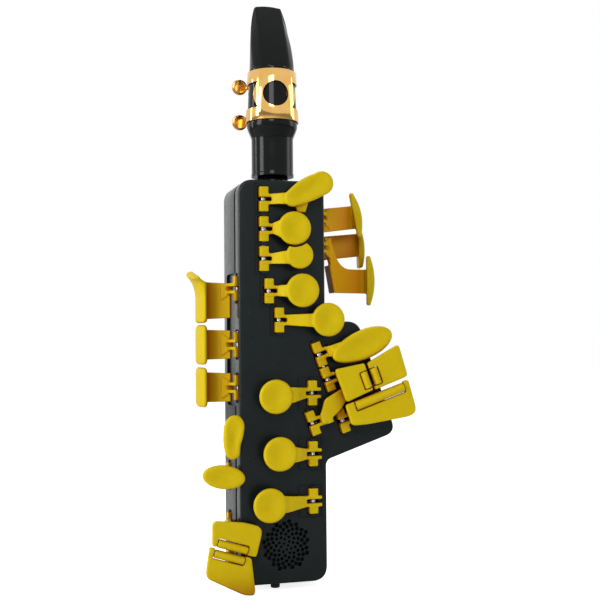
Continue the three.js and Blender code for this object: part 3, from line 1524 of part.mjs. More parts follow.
for (const [name, z] of Object.entries(screwHeights)) {
  const place = new THREE.Matrix4().makeTranslation(0, SCREW_AT, z);
  const drill = placed(bar(SCREW_RADIUS + GAP, SCREW_LEFT, SCREW_RIGHT + SCREW_NUT), turnAcross);
  const hole = placed(drill, place);
  ligature = ligature.subtract(hole);
  const shaft = placed(bar(SCREW_RADIUS, SCREW_LEFT, SCREW_RIGHT), turnAcross);
  const head = plug(HEAD_RADIUS, [SCREW_LEFT - HEAD_OUT, 0], -HEAD_THICK / 2, HEAD_THICK / 2);
  screws[name] = { solid: shaft.add(head), at: [0, SCREW_AT, z] };
}
solids.ligature = ligature;

// Neck: a tube through the top of the housing, with a flange inside and a cork on it
const NECK_LOW = HOUSING_TALL - NECK_INSIDE;
const NECK_TOP = BODY_LOW + NECK_PAST_SHOULDER;
const CORK_LOW = SHANK_LOW + CORK_IN_SHANK;
const CORK_TOP = SHANK_TOP + CORK_PAST_SHANK;
const flangeTop = HOUSING_TALL - WALL - GAP;
const neckTube = turned(
  [
    [0, NECK_LOW],
    [NECK_TAIL_RADIUS, NECK_LOW],
    [NECK_TAIL_RADIUS, flangeTop - FLANGE_THICK],
    [FLANGE_RADIUS, flangeTop - FLANGE_THICK],
    [FLANGE_RADIUS, flangeTop],
    [NECK_RADIUS, flangeTop],
    [NECK_RADIUS, SHANK_LOW - GAP],
    [NECK_CORE, SHANK_LOW - GAP],
    [NECK_CORE, NECK_TOP],
    [0, NECK_TOP],
  ],
);
solids.neck = neckTube.subtract(bar(NECK_BORE, NECK_LOW - OVERRUN, NECK_TOP + OVERRUN, ROUND_SIDE_COUNT));
solids.neck_cork = bar(CORK_RADIUS, CORK_LOW, CORK_TOP, ROUND_SIDE_COUNT).subtract(
  bar(NECK_CORE + GAP, CORK_LOW - OVERRUN, CORK_TOP + OVERRUN, ROUND_SIDE_COUNT),
);

// Power button under the bottom, with its collar inside
const button = turned([
  [0, -BUTTON_OUT],
  [BUTTON_RADIUS - BUTTON_EDGE, -BUTTON_OUT],
  [BUTTON_RADIUS, -BUTTON_OUT + BUTTON_EDGE],
  [BUTTON_RADIUS, WALL + GAP],
  [BUTTON_COLLAR, WALL + GAP],
  [BUTTON_COLLAR, WALL + GAP + BUTTON_COLLAR_THICK],
  [0, WALL + GAP + BUTTON_COLLAR_THICK],
]);
solids.power_button = placed(button, buttonPlace);

// Inside: speaker, circuit board and battery
{
  const at = onFront(GRILLE_AT_SHARES);
  const front = FRONT + WALL + GAP;
  const cone = plug(SPEAKER_RADIUS, at, front, front + SPEAKER_THICK);
  const back = front + SPEAKER_THICK + SPEAKER_MAGNET_THICK;
  const magnet = plug(SPEAKER_MAGNET, at, front + SPEAKER_THICK / 2, back);
  solids.speaker = cone.add(magnet);
}
const BOARD_FRONT = SEAM + BOARD_BEHIND_SEAM;
const BOARD_HIGH = HOUSING_TALL - BOARD_UNDER_TOP;
const BATTERY_LOW = BOARD_LOW + BATTERY_UP;
const BATTERY_HIGH = BATTERY_LOW + BATTERY_LONG;
solids.circuit_board = block(
  [-BOARD_WIDE / 2, BOARD_FRONT, BOARD_LOW],
  [BOARD_WIDE / 2, BOARD_FRONT + BOARD_THICK, BOARD_HIGH],
);
const batteryFront = BOARD_FRONT + BOARD_THICK + GAP;
solids.battery = block(
  [-BATTERY_WIDE / 2, batteryFront, BATTERY_LOW],
  [BATTERY_WIDE / 2, batteryFront + BATTERY_THICK, BATTERY_HIGH],
);
for (const side of [-1, 1]) {
  for (const z of [BOARD_LOW + STAND_END, BOARD_HIGH - STAND_END]) {
    const x = side * (BOARD_WIDE / 2 - STAND_INSET);
    const stand = block(
      [x - STAND_WIDE / 2, batteryFront, z - STAND_WIDE / 2],
      [x + STAND_WIDE / 2, BACK - WALL / 2, z + STAND_WIDE / 2],
    );
    backShell = backShell.add(stand);
  }
}
const ribFront = batteryFront + BATTERY_THICK + GAP;
for (const z of [BATTERY_LOW + RIB_END, BATTERY_HIGH - RIB_END]) {
  const rib = block(
    [-BATTERY_WIDE / 2, ribFront, z - WALL / 2],
    [BATTERY_WIDE / 2, BACK - WALL / 2, z + WALL / 2],
  );
  backShell = backShell.add(rib);
}
solids.back_shell = backShell;

// Back: thumb rest, thumb hook and strap ring
const backFace = BACK + GAP;
const RING_UP = HOOK_UP + HOOK_BASE_TALL / 2 + RING_ABOVE_HOOK + RING_BASE_TALL / 2;
const REST_UP = RING_UP + RING_BASE_TALL / 2 + REST_ABOVE_RING + REST_RADIUS;
{
  const rest = turned([
    [0, 0],
    [REST_RADIUS, 0],
    [REST_RADIUS, REST_THICK - REST_EDGE],
    [REST_RADIUS - REST_EDGE, REST_THICK],
    [0, REST_THICK],
  ]);
  const place = new THREE.Matrix4().makeRotationX(-QUARTER_TURN);
  place.setPosition(0, backFace, REST_UP);
  solids.thumb_rest = placed(rest, place);
  const hookSide = outline(
    [
      [backFace, HOOK_UP - HOOK_BASE_TALL / 2],
      [backFace + HOOK_THICK, HOOK_UP - HOOK_BASE_TALL / 2],
      [backFace + HOOK_THICK, HOOK_UP],
      [backFace + HOOK_OUT - HOOK_THICK, HOOK_UP],
      [backFace + HOOK_OUT - HOOK_THICK, HOOK_UP - HOOK_LIP],
      [backFace + HOOK_OUT, HOOK_UP - HOOK_LIP],
      [backFace + HOOK_OUT, HOOK_UP + HOOK_THICK],
      [backFace + HOOK_THICK, HOOK_UP + HOOK_THICK],
      [backFace + HOOK_THICK, HOOK_UP + HOOK_BASE_TALL / 2],
      [backFace, HOOK_UP + HOOK_BASE_TALL / 2],
    ],
    [
      0,
      HOOK_ROUND,
      HOOK_FILLET,
      HOOK_FILLET,
      HOOK_ROUND,
      HOOK_ROUND,
      HOOK_ELBOW,
      HOOK_FILLET,
      HOOK_ROUND,
      0,
    ],
  );
  solids.thumb_hook = beam(hookSide, -HOOK_WIDE / 2, HOOK_WIDE / 2, PAD_EDGE);
  const torus = new THREE.TorusGeometry(RING_RADIUS, RING_WIRE, PIN_SIDE_COUNT, ROUND_SIDE_COUNT);
  torus.rotateY(QUARTER_TURN);
  torus.translate(0, backFace + RING_BASE_THICK + RING_RADIUS, RING_UP);
  const base = block(
    [-RING_BASE_WIDE / 2, backFace, RING_UP - RING_BASE_TALL / 2],
    [RING_BASE_WIDE / 2, backFace + RING_BASE_THICK, RING_UP + RING_BASE_TALL / 2],
  );
  solids.strap_ring = solidOf(torus).add(base);
}

const FINISHES = {
  front_shell: BLACK,
  back_shell: BLACK,
  mouthpiece: GLOSS,
  reed: CANE,
  ligature: GOLD,
  neck: STEEL,
  neck_cork: CORK,
  power_button: BLACK,
  speaker: BLACK,
  circuit_board: BOARD,
  battery: CELL,
  thumb_rest: BLACK,
  thumb_hook: BLACK,
  strap_ring: STEEL,
};

// A named mesh from a solid
function meshOf(name, solid, finish) {
  const geometry = geometryOf(solid.asOriginal().simplify(SIMPLER));
  const mesh = new THREE.Mesh(geometry, new THREE.MeshStandardMaterial(finish));
  mesh.name = name;
  return mesh;
}

// A group standing in a frame
function groupIn(matrix) {
  const group = new THREE.Group();
  group.applyMatrix4(matrix);
  return group;
}

const controller = new THREE.Group();
for (const [name, solid] of Object.entries(solids)) {
  const key = name.slice("key_".length);
  if (name.startsWith("key_") && HINGES[key]) {
    const group = groupIn(HINGES[key].matrix);
    group.add(meshOf(name, solid, YELLOW));
    controller.add(group);
  } else {
    controller.add(meshOf(name, solid, FINISHES[name]));
  }
}
for (const [name, { base, solid }] of Object.entries(rods)) {
  const group = groupIn(base.matrix);
  group.add(meshOf(name, solid, STEEL));
  controller.add(group);
}
for (const [name, roller] of Object.entries(ROLLERS)) {
  const onTable = name in PLATE_SHARES;
  const depth = onTable ? TABLE_FRONT + TABLE_THICK / 2 : LOW_FRONT + LOW_THICK / 2;
  const group = groupIn(rollerFrame(name, depth));
  group.add(meshOf("roller_" + name, rollerBody(roller), YELLOW));
  controller.add(group);
}
for (const [name, { solid, at }] of Object.entries(screws)) {
  const mesh = meshOf(name, solid, GOLD);
  mesh.position.set(...at);
  controller.add(mesh);
}

export default controller;
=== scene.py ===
"""Dressed scene of a digital wind controller: yellow keys on a black housing, a glossy mouthpiece on top.

Sizes are millimetres in the frame of the solids: +Z up, the front face towards -Y, the origin underneath.
Shares are parts of the housing's width and height.
"""
import json
import math

import bpy
import bmesh
from mathutils import Matrix, Vector


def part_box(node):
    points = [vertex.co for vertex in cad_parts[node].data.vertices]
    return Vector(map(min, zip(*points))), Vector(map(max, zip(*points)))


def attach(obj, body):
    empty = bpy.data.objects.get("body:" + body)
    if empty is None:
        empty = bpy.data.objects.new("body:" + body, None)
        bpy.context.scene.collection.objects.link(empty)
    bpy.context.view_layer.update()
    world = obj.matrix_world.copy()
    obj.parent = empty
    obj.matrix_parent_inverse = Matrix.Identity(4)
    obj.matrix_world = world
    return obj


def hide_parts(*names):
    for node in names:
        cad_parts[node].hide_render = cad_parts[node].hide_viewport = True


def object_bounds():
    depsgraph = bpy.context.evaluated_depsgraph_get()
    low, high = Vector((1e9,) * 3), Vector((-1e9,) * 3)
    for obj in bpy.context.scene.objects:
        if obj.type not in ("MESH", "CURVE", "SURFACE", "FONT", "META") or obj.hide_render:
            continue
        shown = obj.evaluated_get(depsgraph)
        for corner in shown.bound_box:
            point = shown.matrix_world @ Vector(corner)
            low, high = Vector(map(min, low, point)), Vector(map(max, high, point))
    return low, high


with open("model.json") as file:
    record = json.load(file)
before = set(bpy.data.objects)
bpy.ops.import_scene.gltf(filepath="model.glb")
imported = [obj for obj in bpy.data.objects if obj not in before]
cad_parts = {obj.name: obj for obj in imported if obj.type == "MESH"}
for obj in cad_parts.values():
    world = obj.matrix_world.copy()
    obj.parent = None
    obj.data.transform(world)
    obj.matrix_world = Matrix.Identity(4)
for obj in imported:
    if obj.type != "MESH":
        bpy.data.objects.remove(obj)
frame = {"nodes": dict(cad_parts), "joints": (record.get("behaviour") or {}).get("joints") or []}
CAD_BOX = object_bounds()

MM = 0.001
QUARTER = math.pi / 2
TURN = 2 * math.pi

# Housing
WIDE = 46
DEEP = 39
TALL = 208
CORNER = 8
EDGE = 1.2
WALL = 2.2
SEAM_FROM_FRONT = 11.4
GAP = 0.3
WING_CORNER = 6
WING_ROOT_ROUND = 0.5
WING_SHARES = [(0.5, 0.646), (0.897, 0.646), (1.345, 0.363), (0.5, 0.298)]
PANEL_DEEP = 1.2
PANEL_CORNER = 3
PANEL_LOW_SHARE = 0.435
PANEL_HIGH_SHARE = 0.77
PANEL_BACK_SHARE = 0.31
GRILLE_RADIUS = 12.3
GRILLE_HOLES = 88
GRILLE_HOLE_OUTER = 1.15
GRILLE_HOLE_INNER = 0.55
GRILLE_SHARES = (0.02, 0.093)
GOLDEN_TURN_SHARE = 0.381966
LEFT = -WIDE / 2
RIGHT = WIDE / 2
FRONT = -DEEP / 2
BACK = DEEP / 2
SEAM = FRONT + SEAM_FROM_FRONT

# Hinges
BARREL = 4.7
BARREL_LONG = 12.9
AXIS_LIFT = 0.2
ROD_RADIUS = 0.8
FORK_WIDE = 5.5
SLOT_WIDE = 2.1
SLOT_LONG = 3.9
POCKET_SIDE = 0.75
POST_LONG = 1.1
POST_WIDE = 3
POST_OUT = 1.7
PRONG_TOP = 2.7
PRONG_LOW = 1
ARM_THICK = 1.5
FORK_TAIL = 2
RELIEF_LONG = 3.2
RELIEF_DEEP = 1.5
RELIEF_DEEP_SIDE = 0.6
SPRING_COIL = 1.15
SPRING_WIRE = 0.2
SPRING_TURNS = 4
HALF_BARREL = BARREL / 2
HALF_HINGE = BARREL_LONG / 2
HALF_FORK = FORK_WIDE / 2
POCKET_HALF = HALF_BARREL + POCKET_SIDE

# Touches
PAD_THICK = 2.6
PAD_LIFT = 8.8
PAD_RIM = 1.4
PAD_DISH = 0.8
PAD_RADIUS = 8.75
BIS_RADIUS = 7.1
BIS_NOTCH_GAP = 0.9
BIS_RIM_SHARE = 0.7
TABLE_LIFT = 11
TABLE_THICK = 2.4
ARM_BEND_ROUND = 2
PLATE_RIM = 0.6
UNDER_ARM_LIFT = 5.6
ARM_DROP = 1.4
UNDER_ARM_THICK = 2
ARM_WIDE = 6.6
ARM_WIDE_STACK = 10.5
ARM_HALF_WIDTHS = {"b": (9, 7.1), "bis": (4.9, 3.4), "a": (4.4, 3.4), "g": (4.4, 3.4)}
HALVES_STACK = (ARM_WIDE_STACK / 2,) * 2
HALVES_FORK = (HALF_FORK,) * 2
PAD_SHARES = {
    "b": (0.102, 0.876), "bis": (0.159, 0.81), "a": (0.191, 0.7225), "g": (0.487, 0.65),
    "f": (-0.125, 0.462), "e": (-0.083, 0.322), "d": (-0.2, 0.1985),
}
CAPSULE_SHARES = [(0.083, 0.9505), (0.425, 0.9905)]
CAPSULE_RADII = (4.5, 6.2)
CAPSULE_BULGE = 1.1
CAPSULE_ARM_FLARE = 0.5
ELLIPSE_SHARES = (0.887, 0.586)
ELLIPSE_RADII = (17.4, 7.6)
ELLIPSE_TURN = 0.04
ELLIPSE_BLUNT = 0.08
ELLIPSE_ARM_REACH = 2

# Faces, tilts and the open ends of the hinges
TABLE_TILT = -0.34
STACK_LEFT = ("front_f", "b", "bis", "a", "g")
STACK_RIGHT = ("f", "e", "d")
FACES = {"front": 0, "left": -QUARTER, "right": QUARTER, "back": math.pi}
HINGES = {
    **{name: ("front", 0, 0) for name in STACK_LEFT},
    **{name: ("front", math.pi, 0) for name in STACK_RIGHT},
    "g_sharp": ("front", TABLE_TILT, -1),
    "low_c_sharp": ("front", TABLE_TILT, 1),
    **{name: ("front", TABLE_TILT, 0) for name in ("low_b", "low_b_flat")},
    **{name: ("left", math.pi, 0) for name in ("side_b_flat", "side_c", "side_high_e")},
    **{name: ("right", 0, 0) for name in ("palm_d", "palm_f", "palm_e_flat")},
    **{name: ("left", 0, 0) for name in ("high_f_sharp", "fork_f_sharp", "e_flat", "low_c")},
    "octave": ("back", 0, 0),
}
JOINTS = {joint["name"]: joint for joint in frame["joints"]}


class Hinge:
    """A key's place: local x from the rod to the touch, -y out of the face and z along the rod."""

    def __init__(self, name):
        self.face, tilt, self.open = HINGES[name]
        self.at = Vector(JOINTS[name + "_press"]["pos_m"]) / MM
        turn = Matrix.Rotation(FACES[self.face], 4, "Z") @ Matrix.Rotation(tilt, 4, "Y")
        self.matrix = Matrix.Translation(self.at) @ turn
        self.inverse = self.matrix.inverted()

    def local(self, share):
        """A place on the front, given as shares of the housing, as local x and z."""
        point = self.inverse @ Vector((share[0] * WIDE, self.at.y, share[1] * TALL))
        return point.x, point.z


HINGE = {name: Hinge(name) for name in HINGES}

# Outlines: lists of pairs
CORNER_LIMIT = 0.42
MITRE_LIMIT = 0.4


def lerp(a, b, t):
    return tuple(x + (y - x) * t for x, y in zip(a, b))


def beside(side, start, end):
    """Two distances on one side of the middle, in rising order."""
    return sorted((side * start, side * end))


def rounded(points, rounds, steps=7):
    """A closed outline whose corners are rounded by one radius or by its own each."""
    out = []
    for i, corner in enumerate(points):
        radius = rounds[i] if isinstance(rounds, (list, tuple)) else rounds
        if radius <= 0:
            out.append(tuple(corner))
            continue
        start, end = (
            lerp(corner, other, min(radius / math.dist(corner, other), CORNER_LIMIT))
            for other in (points[i - 1], points[(i + 1) % len(points)])
        )
        for k in range(steps + 1):
            t = k / steps
            weights = ((1 - t) ** 2, 2 * t * (1 - t), t * t)
            out.append(tuple(sum(w * p[a] for w, p in zip(weights, (start, corner, end))) for a in (0, 1)))
    return out


def ellipse(middle, radii, turn=0, count=72):
    out = []
    for k in range(count):
        x = radii[0] * math.cos(TURN * k / count)
        z = radii[1] * math.sin(TURN * k / count)
        out.append((
            middle[0] + x * math.cos(turn) - z * math.sin(turn),
            middle[1] + x * math.sin(turn) + z * math.cos(turn),
        ))
    return out


def inset(points, distance):
    """The outline moved inwards, with mitred corners."""
    count = len(points)
    area = sum(points[i - 1][0] * points[i][1] - points[i][0] * points[i - 1][1] for i in range(count))
    side = 1 if area > 0 else -1
    out = []
    for i, (x, z) in enumerate(points):
        normals = []
        for a, b in ((points[i - 1], points[i]), (points[i], points[(i + 1) % count])):
            long = math.dist(a, b) or 1
            normals.append((-(b[1] - a[1]) / long * side, (b[0] - a[0]) / long * side))
        (ax, az), (bx, bz) = normals
        share = distance / max(1 + ax * bx + az * bz, MITRE_LIMIT)
        out.append((x + (ax + bx) * share, z + (az + bz) * share))
    return out


def on_front(share):
    return share[0] * WIDE, share[1] * TALL


# Solids: pairs of a list of points and a list of faces
def looped(rings, ends=False):
    """A closed solid through rings of equal count, which joins its last ring to the first or has two ends."""
    count = len(rings[0])
    verts = [tuple(point) for ring in rings for point in ring]
    faces = [tuple(range(count))] if ends else []
    for r in range(len(rings) - (1 if ends else 0)):
        n = (r + 1) % len(rings)
        for i in range(count):
            j = (i + 1) % count
            faces.append((r * count + i, r * count + j, n * count + j, n * count + i))
    if ends:
        faces.append(tuple(range(len(verts) - count, len(verts))))
    return verts, faces


def ringed(rings):
    return looped(rings, ends=True)


def plate(points, front, thick, rim, back_rim=None, dish=0.0, steps=5):
    """A plate in x and z with its front at the given y, rounded rims and a dished front."""
    back_rim = min(rim, thick / 3) if back_rim is None else back_rim
    rings = []
    for k in range(steps + 1):
        angle = QUARTER * k / steps
        y = front + thick - back_rim * (1 - math.cos(angle))
        rings.append([(x, y, z) for x, z in inset(points, back_rim * (1 - math.sin(angle)))])
    for k in range(steps + 1):
        angle = QUARTER * k / steps
        y = front + rim * (1 - math.sin(angle))
        rings.append([(x, y, z) for x, z in inset(points, rim * (1 - math.cos(angle)))])
    if dish:
        last = inset(points, rim)
        cx = sum(p[0] for p in last) / len(last)
        cz = sum(p[1] for p in last) / len(last)
        for k in range(1, steps + 2):
            t = k / (steps + 2)
            y = front + dish * math.sin(QUARTER * t) ** 2
            rings.append([(cx + (x - cx) * (1 - t), y, cz + (z - cz) * (1 - t)) for x, z in last])
    return ringed(rings)


def prism(points, front, back):
    """An outline in x and z between two depths."""
    return ringed([[(x, y, z) for x, z in points] for y in (front, back)])


def column(points, low, high):
    """A section in x and y between two heights."""
    return ringed([[(x, y, z) for x, y in points] for z in (low, high)])


def box(low, high):
    (left, front, bottom), (right, back, top) = low, high
    return column([(left, front), (right, front), (right, back), (left, back)], bottom, top)


def circle(radius, z, sides):
    angles = [TURN * k / sides for k in range(sides)]
    return [(radius * math.cos(angle), radius * math.sin(angle), z) for angle in angles]


def turned(profile, sides=48):
    """A turned solid about z, from radius and height pairs that start and end on the axis."""
    return ringed([circle(max(radius, 0.01), z, sides) for radius, z in profile])


def cylinder(radius, low, high):
    return [(0, low), (radius, low), (radius, high), (0, high)]


def bar(radius, low, high, sides=16, round_end=0.15):
    """A round bar along z with softened ends."""
    return turned([
        (0, low), (radius - round_end, low), (radius, low + round_end),
        (radius, high - round_end), (radius - round_end, high), (0, high),
    ], sides)


def tube(points, radius, sides=8):
    """A round wire along a list of points."""
    rings = []
    across = None
    for i, point in enumerate(points):
        ahead = Vector(points[min(i + 1, len(points) - 1)]) - Vector(points[max(i - 1, 0)])
        ahead.normalize()
        if across is None:
            across = ahead.orthogonal().normalized()
        across = (across - ahead * across.dot(ahead)).normalized()
        other = ahead.cross(across)
        rings.append([Vector(point) + radius * (x * across + y * other) for x, y, _ in circle(1, 0, sides)])
    return ringed(rings)


def moved(solid, matrix):
    return [tuple(matrix @ Vector(v)) for v in solid[0]], solid[1]


def merged(solids):
    verts = []
    faces = []
    for points, polygons in solids:
        base = len(verts)
        verts.extend(points)
        faces.extend(tuple(base + i for i in polygon) for polygon in polygons)
    return verts, faces


# Objects
CUT = "DIFFERENCE"
JOIN = "UNION"
VOXEL = 0.3
SMOOTHING = 0.5


def object_of(name, solid):
    """An object in metres with its faces turned outwards."""
    mesh = bpy.data.meshes.new(name)
    mesh.from_pydata([Vector(v) * MM for v in solid[0]], [], solid[1])
    work = bmesh.new()
    work.from_mesh(mesh)
    bmesh.ops.recalc_face_normals(work, faces=work.faces)
    work.to_mesh(mesh)
    work.free()
    thing = bpy.data.objects.new(name, mesh)
    bpy.context.scene.collection.objects.link(thing)
    return thing


def combine(thing, steps):
    """Adds a join or a cut to an object for each solid, and gives the helpers."""
    helpers = []
    for operation, other in steps:
        modifier = thing.modifiers.new("step", "BOOLEAN")
        modifier.operation = operation
        modifier.solver = "MANIFOLD"
        modifier.object = object_of("helper", other)
        helpers.append(modifier.object)
    return helpers


def settle(thing, helpers):
    """Gives an object the mesh that its modifiers make, and removes the helpers."""
    bpy.context.view_layer.update()
    graph = bpy.context.evaluated_depsgraph_get()
    mesh = bpy.data.meshes.new_from_object(thing.evaluated_get(graph))
    thing.modifiers.clear()
    thing.data = mesh
    for helper in helpers:
        bpy.data.objects.remove(helper)


def shaped(solid, steps):
    """A solid after a list of joins and cuts."""
    thing = object_of("shaped", solid)
    settle(thing, combine(thing, steps))
    verts = [tuple(v.co / MM) for v in thing.data.vertices]
    faces = [tuple(polygon.vertices) for polygon in thing.data.polygons]
    bpy.data.objects.remove(thing)
    return verts, faces


def remesh(thing):
    modifier = thing.modifiers.new("remesh", "REMESH")
    modifier.mode = "VOXEL"
    modifier.voxel_size = VOXEL * MM


def soft(name, solids, rounds, cutters):
    """One moulded body from overlapping solids less the cutters, with small fillets where they meet."""
    thing = object_of(name, merged(solids))
    remesh(thing)
    helpers = combine(thing, [(CUT, cutter) for cutter in cutters])
    if helpers:
        remesh(thing)
    smooth = thing.modifiers.new("smooth", "SMOOTH")
    smooth.factor = SMOOTHING
    smooth.iterations = rounds
    settle(thing, helpers)
    thing.data.shade_smooth()
    return thing


def dress(thing, body, material, slot, *nodes):
    """Puts a piece in its material, on its body, and in the place of its nodes; the slot is not used."""
    thing.data.materials.clear()
    thing.data.materials.append(material)
    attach(thing, body)
    if nodes:
        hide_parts(*nodes)


def put(name, solids, angle, material, slot, *nodes, body="housing"):
    """Dresses a piece whose edges stay sharp past an angle in degrees."""
    thing = object_of("dress_" + name, merged(solids))
    thing.data.shade_smooth()
    thing.data.set_sharp_from_angle(angle=math.radians(angle))
    dress(thing, body, material, slot, *nodes)


# Materials
# Painted shade in nooks: the colour turns to its deep tone where ambient occlusion within this reach falls
# from pale to dark
PAINTED_SHADE_REACH = 0.016
PAINTED_SHADE_DARK = 0.45
PAINTED_SHADE_PALE = 0.95
CLOUD_ENDS = (0.25, 0.75)
# Stops of the painted shade along a web, as parts of its run in object x
WEB_SHADE_STOPS = (0.15, 0.92)
WEAR_FROM = 0.3
WEAR_TO = 0.7
GRAIN_HEIGHT = 0.0002


def wire(tree, node, values, feeds):
    """Sets the values of a shader node and feeds its inputs from other outputs."""
    for socket, value in values.items():
        node.inputs[socket].default_value = value
    for socket, output in feeds.items():
        tree.links.new(output, node.inputs[socket])
    return node


def add_node(tree, kind, values, feeds):
    return wire(tree, tree.nodes.new("ShaderNode" + kind), values, feeds)


def material(name, colour, other, rough, scale, grain=0.0, grain_scale=2500, metal=0.0, ior=1.5, gloss=0.5,
             deep=None, web=None):
    """A shader of slowly varying colour and roughness, with grain, with a painted shade in nooks by ambient
    occlusion and a painted shade along a web by object x.
    """
    made = bpy.data.materials.new(name)
    made.use_nodes = True
    tree = made.node_tree
    place = add_node(tree, "TexCoord", {}, {}).outputs["Object"]
    cloud = add_node(tree, "TexNoise", {"Scale": scale, "Detail": 4}, {"Vector": place}).outputs["Fac"]
    ramp = add_node(tree, "ValToRGB", {}, {"Fac": cloud})
    for element, at, tone in zip(ramp.color_ramp.elements, CLOUD_ENDS, (colour, other)):
        element.position = at
        element.color = (*tone, 1)
    shade = ramp.outputs["Color"]
    # Painted shade along a web: by object x the colour turns to a golden and then an amber shade, and back to
    # its own tone at both ends
    if web:
        start, end, web_half_shade, web_full_shade = web
        axes = add_node(tree, "SeparateXYZ", {}, {"Vector": place})
        span = {"From Min": start * MM, "From Max": end * MM}
        reach = add_node(tree, "MapRange", span, {"Value": axes.outputs["X"]})
        run = add_node(tree, "ValToRGB", {}, {"Fac": reach.outputs["Result"]})
        for element in run.color_ramp.elements:
            element.color = (*colour, 1)
        for at, tone in zip(WEB_SHADE_STOPS, (web_half_shade, web_full_shade)):
            run.color_ramp.elements.new(at).color = (*tone, 1)
        shade = run.outputs["Color"]
    # Painted shade: the colour turns to the deep tone where ambient occlusion is low, in nooks and between
    # parts
    if deep:
        shade_occlusion = add_node(tree, "AmbientOcclusion", {"Distance": PAINTED_SHADE_REACH}, {})
        shade_occlusion.samples = 8
        span = {"From Min": PAINTED_SHADE_DARK, "From Max": PAINTED_SHADE_PALE}
        level = add_node(tree, "MapRange", span, {"Value": shade_occlusion.outputs["AO"]})
        shade_blend = tree.nodes.new("ShaderNodeMix")
        shade_blend.data_type = "RGBA"
        wire(tree, shade_blend, {"A": (*deep, 1)}, {"Factor": level.outputs["Result"], "B": shade})
        shade = shade_blend.outputs["Result"]
    wear = add_node(tree, "MapRange", {
        "From Min": WEAR_FROM, "From Max": WEAR_TO, "To Min": rough[0], "To Max": rough[1],
    }, {"Value": cloud})
    shader = tree.nodes["Principled BSDF"]
    wire(tree, shader, {"Metallic": metal, "IOR": ior, "Specular IOR Level": gloss},
         {"Base Color": shade, "Roughness": wear.outputs["Result"]})
    if grain:
        speck = add_node(tree, "TexNoise", {"Scale": grain_scale, "Detail": 2}, {"Vector": place})
        relief = {"Strength": grain, "Distance": GRAIN_HEIGHT}
        bump = add_node(tree, "Bump", relief, {"Height": speck.outputs["Fac"]})
        wire(tree, shader, {}, {"Normal": bump.outputs["Normal"]})
    return made


# Yellow plastic with painted shade: a deep orange in nooks, and with a web given, a painted amber shade along
# it
def yellow(name, web=None):
    return material(name, (0.6, 0.44, 0.003), (0.64, 0.475, 0.005), (0.36, 0.46), 260, grain=0.08, gloss=0.08,
                    deep=(0.36, 0.12, 0), web=web)


YELLOW = yellow("yellow plastic")
# The side and palm keys carry a painted shade along their webs
YELLOW_SIDE_WEB_SHADE = yellow("yellow side key", (-25.5, -38.6, (0.5, 0.34, 0.001), (0.32, 0.2, 0)))
YELLOW_PALM_D_WEB_SHADE = yellow("yellow palm key", (24, 44.8, (0.66, 0.35, 0), (0.52, 0.18, 0)))
YELLOW_PALM_WEB_SHADE = yellow("yellow low palm key", (24, 51, (0.66, 0.35, 0), (0.52, 0.19, 0)))
BRASS = material("dark brass", (0.42, 0.23, 0.06), (0.5, 0.28, 0.08), (0.1, 0.16), 300, metal=1.0)
CHARCOAL = material("charcoal plastic", (0.0075, 0.0115, 0.0115), (0.0095, 0.0135, 0.0135), (0.2, 0.28), 180,
                    grain=0.2, ior=1.25)
TRIM = material("black plastic", (0.006, 0.006, 0.007), (0.01, 0.01, 0.011), (0.4, 0.5), 300, grain=0.2,
                gloss=0.3)
EBONY = material("polished black", (0.003, 0.0035, 0.004), (0.004, 0.0045, 0.005), (0.1, 0.14), 120, ior=1.4,
                 gloss=0.2)
GOLD = material("gold plate", (0.75, 0.43, 0.12), (0.82, 0.5, 0.17), (0.07, 0.12), 200, metal=1.0)
STEEL = material("steel", (0.6, 0.6, 0.62), (0.7, 0.7, 0.72), (0.16, 0.28), 600, metal=1.0)
CANE = material("cane", (0.62, 0.45, 0.2), (0.72, 0.56, 0.3), (0.5, 0.62), 300, grain=0.25, grain_scale=1500)
CORK = material("cork", (0.3, 0.17, 0.08), (0.5, 0.32, 0.17), (0.75, 0.9), 900, grain=0.6, grain_scale=1200)
BOARD = material("board laminate", (0.012, 0.09, 0.035), (0.02, 0.12, 0.05), (0.35, 0.5), 300, grain=0.1)
CELL = material("cell foil", (0.35, 0.37, 0.4), (0.45, 0.47, 0.5), (0.3, 0.4), 200, metal=0.6)
CONE = material("speaker cone", (0.006, 0.006, 0.007), (0.01, 0.01, 0.012), (0.6, 0.8), 500, grain=0.4,
                gloss=0.2)

# Keys
PAD_FRONT = AXIS_LIFT - PAD_LIFT
PAD_ARM_LEVEL = PAD_LIFT - AXIS_LIFT - ARM_DROP
ARM_SHY = 0.7
FRONT_SMOOTH = 5
BARREL_OVERLAP = 0.3
PRONG_OVERLAP = 0.5
TAB_SHARES = [(0.11, 0.945), (0.27, 0.94), (0.235, 0.917), (0.15, 0.917)]
TAB_DROP = 2.4
TAB_THICK = 2


def fork(tail=0.0):
    """The two barrels and the prongs between them."""
    solids = []
    for side in (1, -1):
        near, far = beside(side, HALF_FORK - BARREL_OVERLAP, HALF_HINGE)
        solids.append(box((-HALF_BARREL, -HALF_BARREL, near), (HALF_BARREL, HALF_BARREL, far)))
        near, far = beside(side, SLOT_WIDE / 2, HALF_FORK)
        solids.append(box((-HALF_BARREL, -PRONG_TOP, near), (SLOT_LONG + PRONG_OVERLAP, PRONG_LOW, far)))
        if tail:
            solids.append(box((-HALF_BARREL - tail, -PRONG_TOP, near), (0, -AXIS_LIFT - GAP, far)))
    return solids


def ease(t):
    t = min(max(t, 0), 1)
    return t * t * (3 - 2 * t)


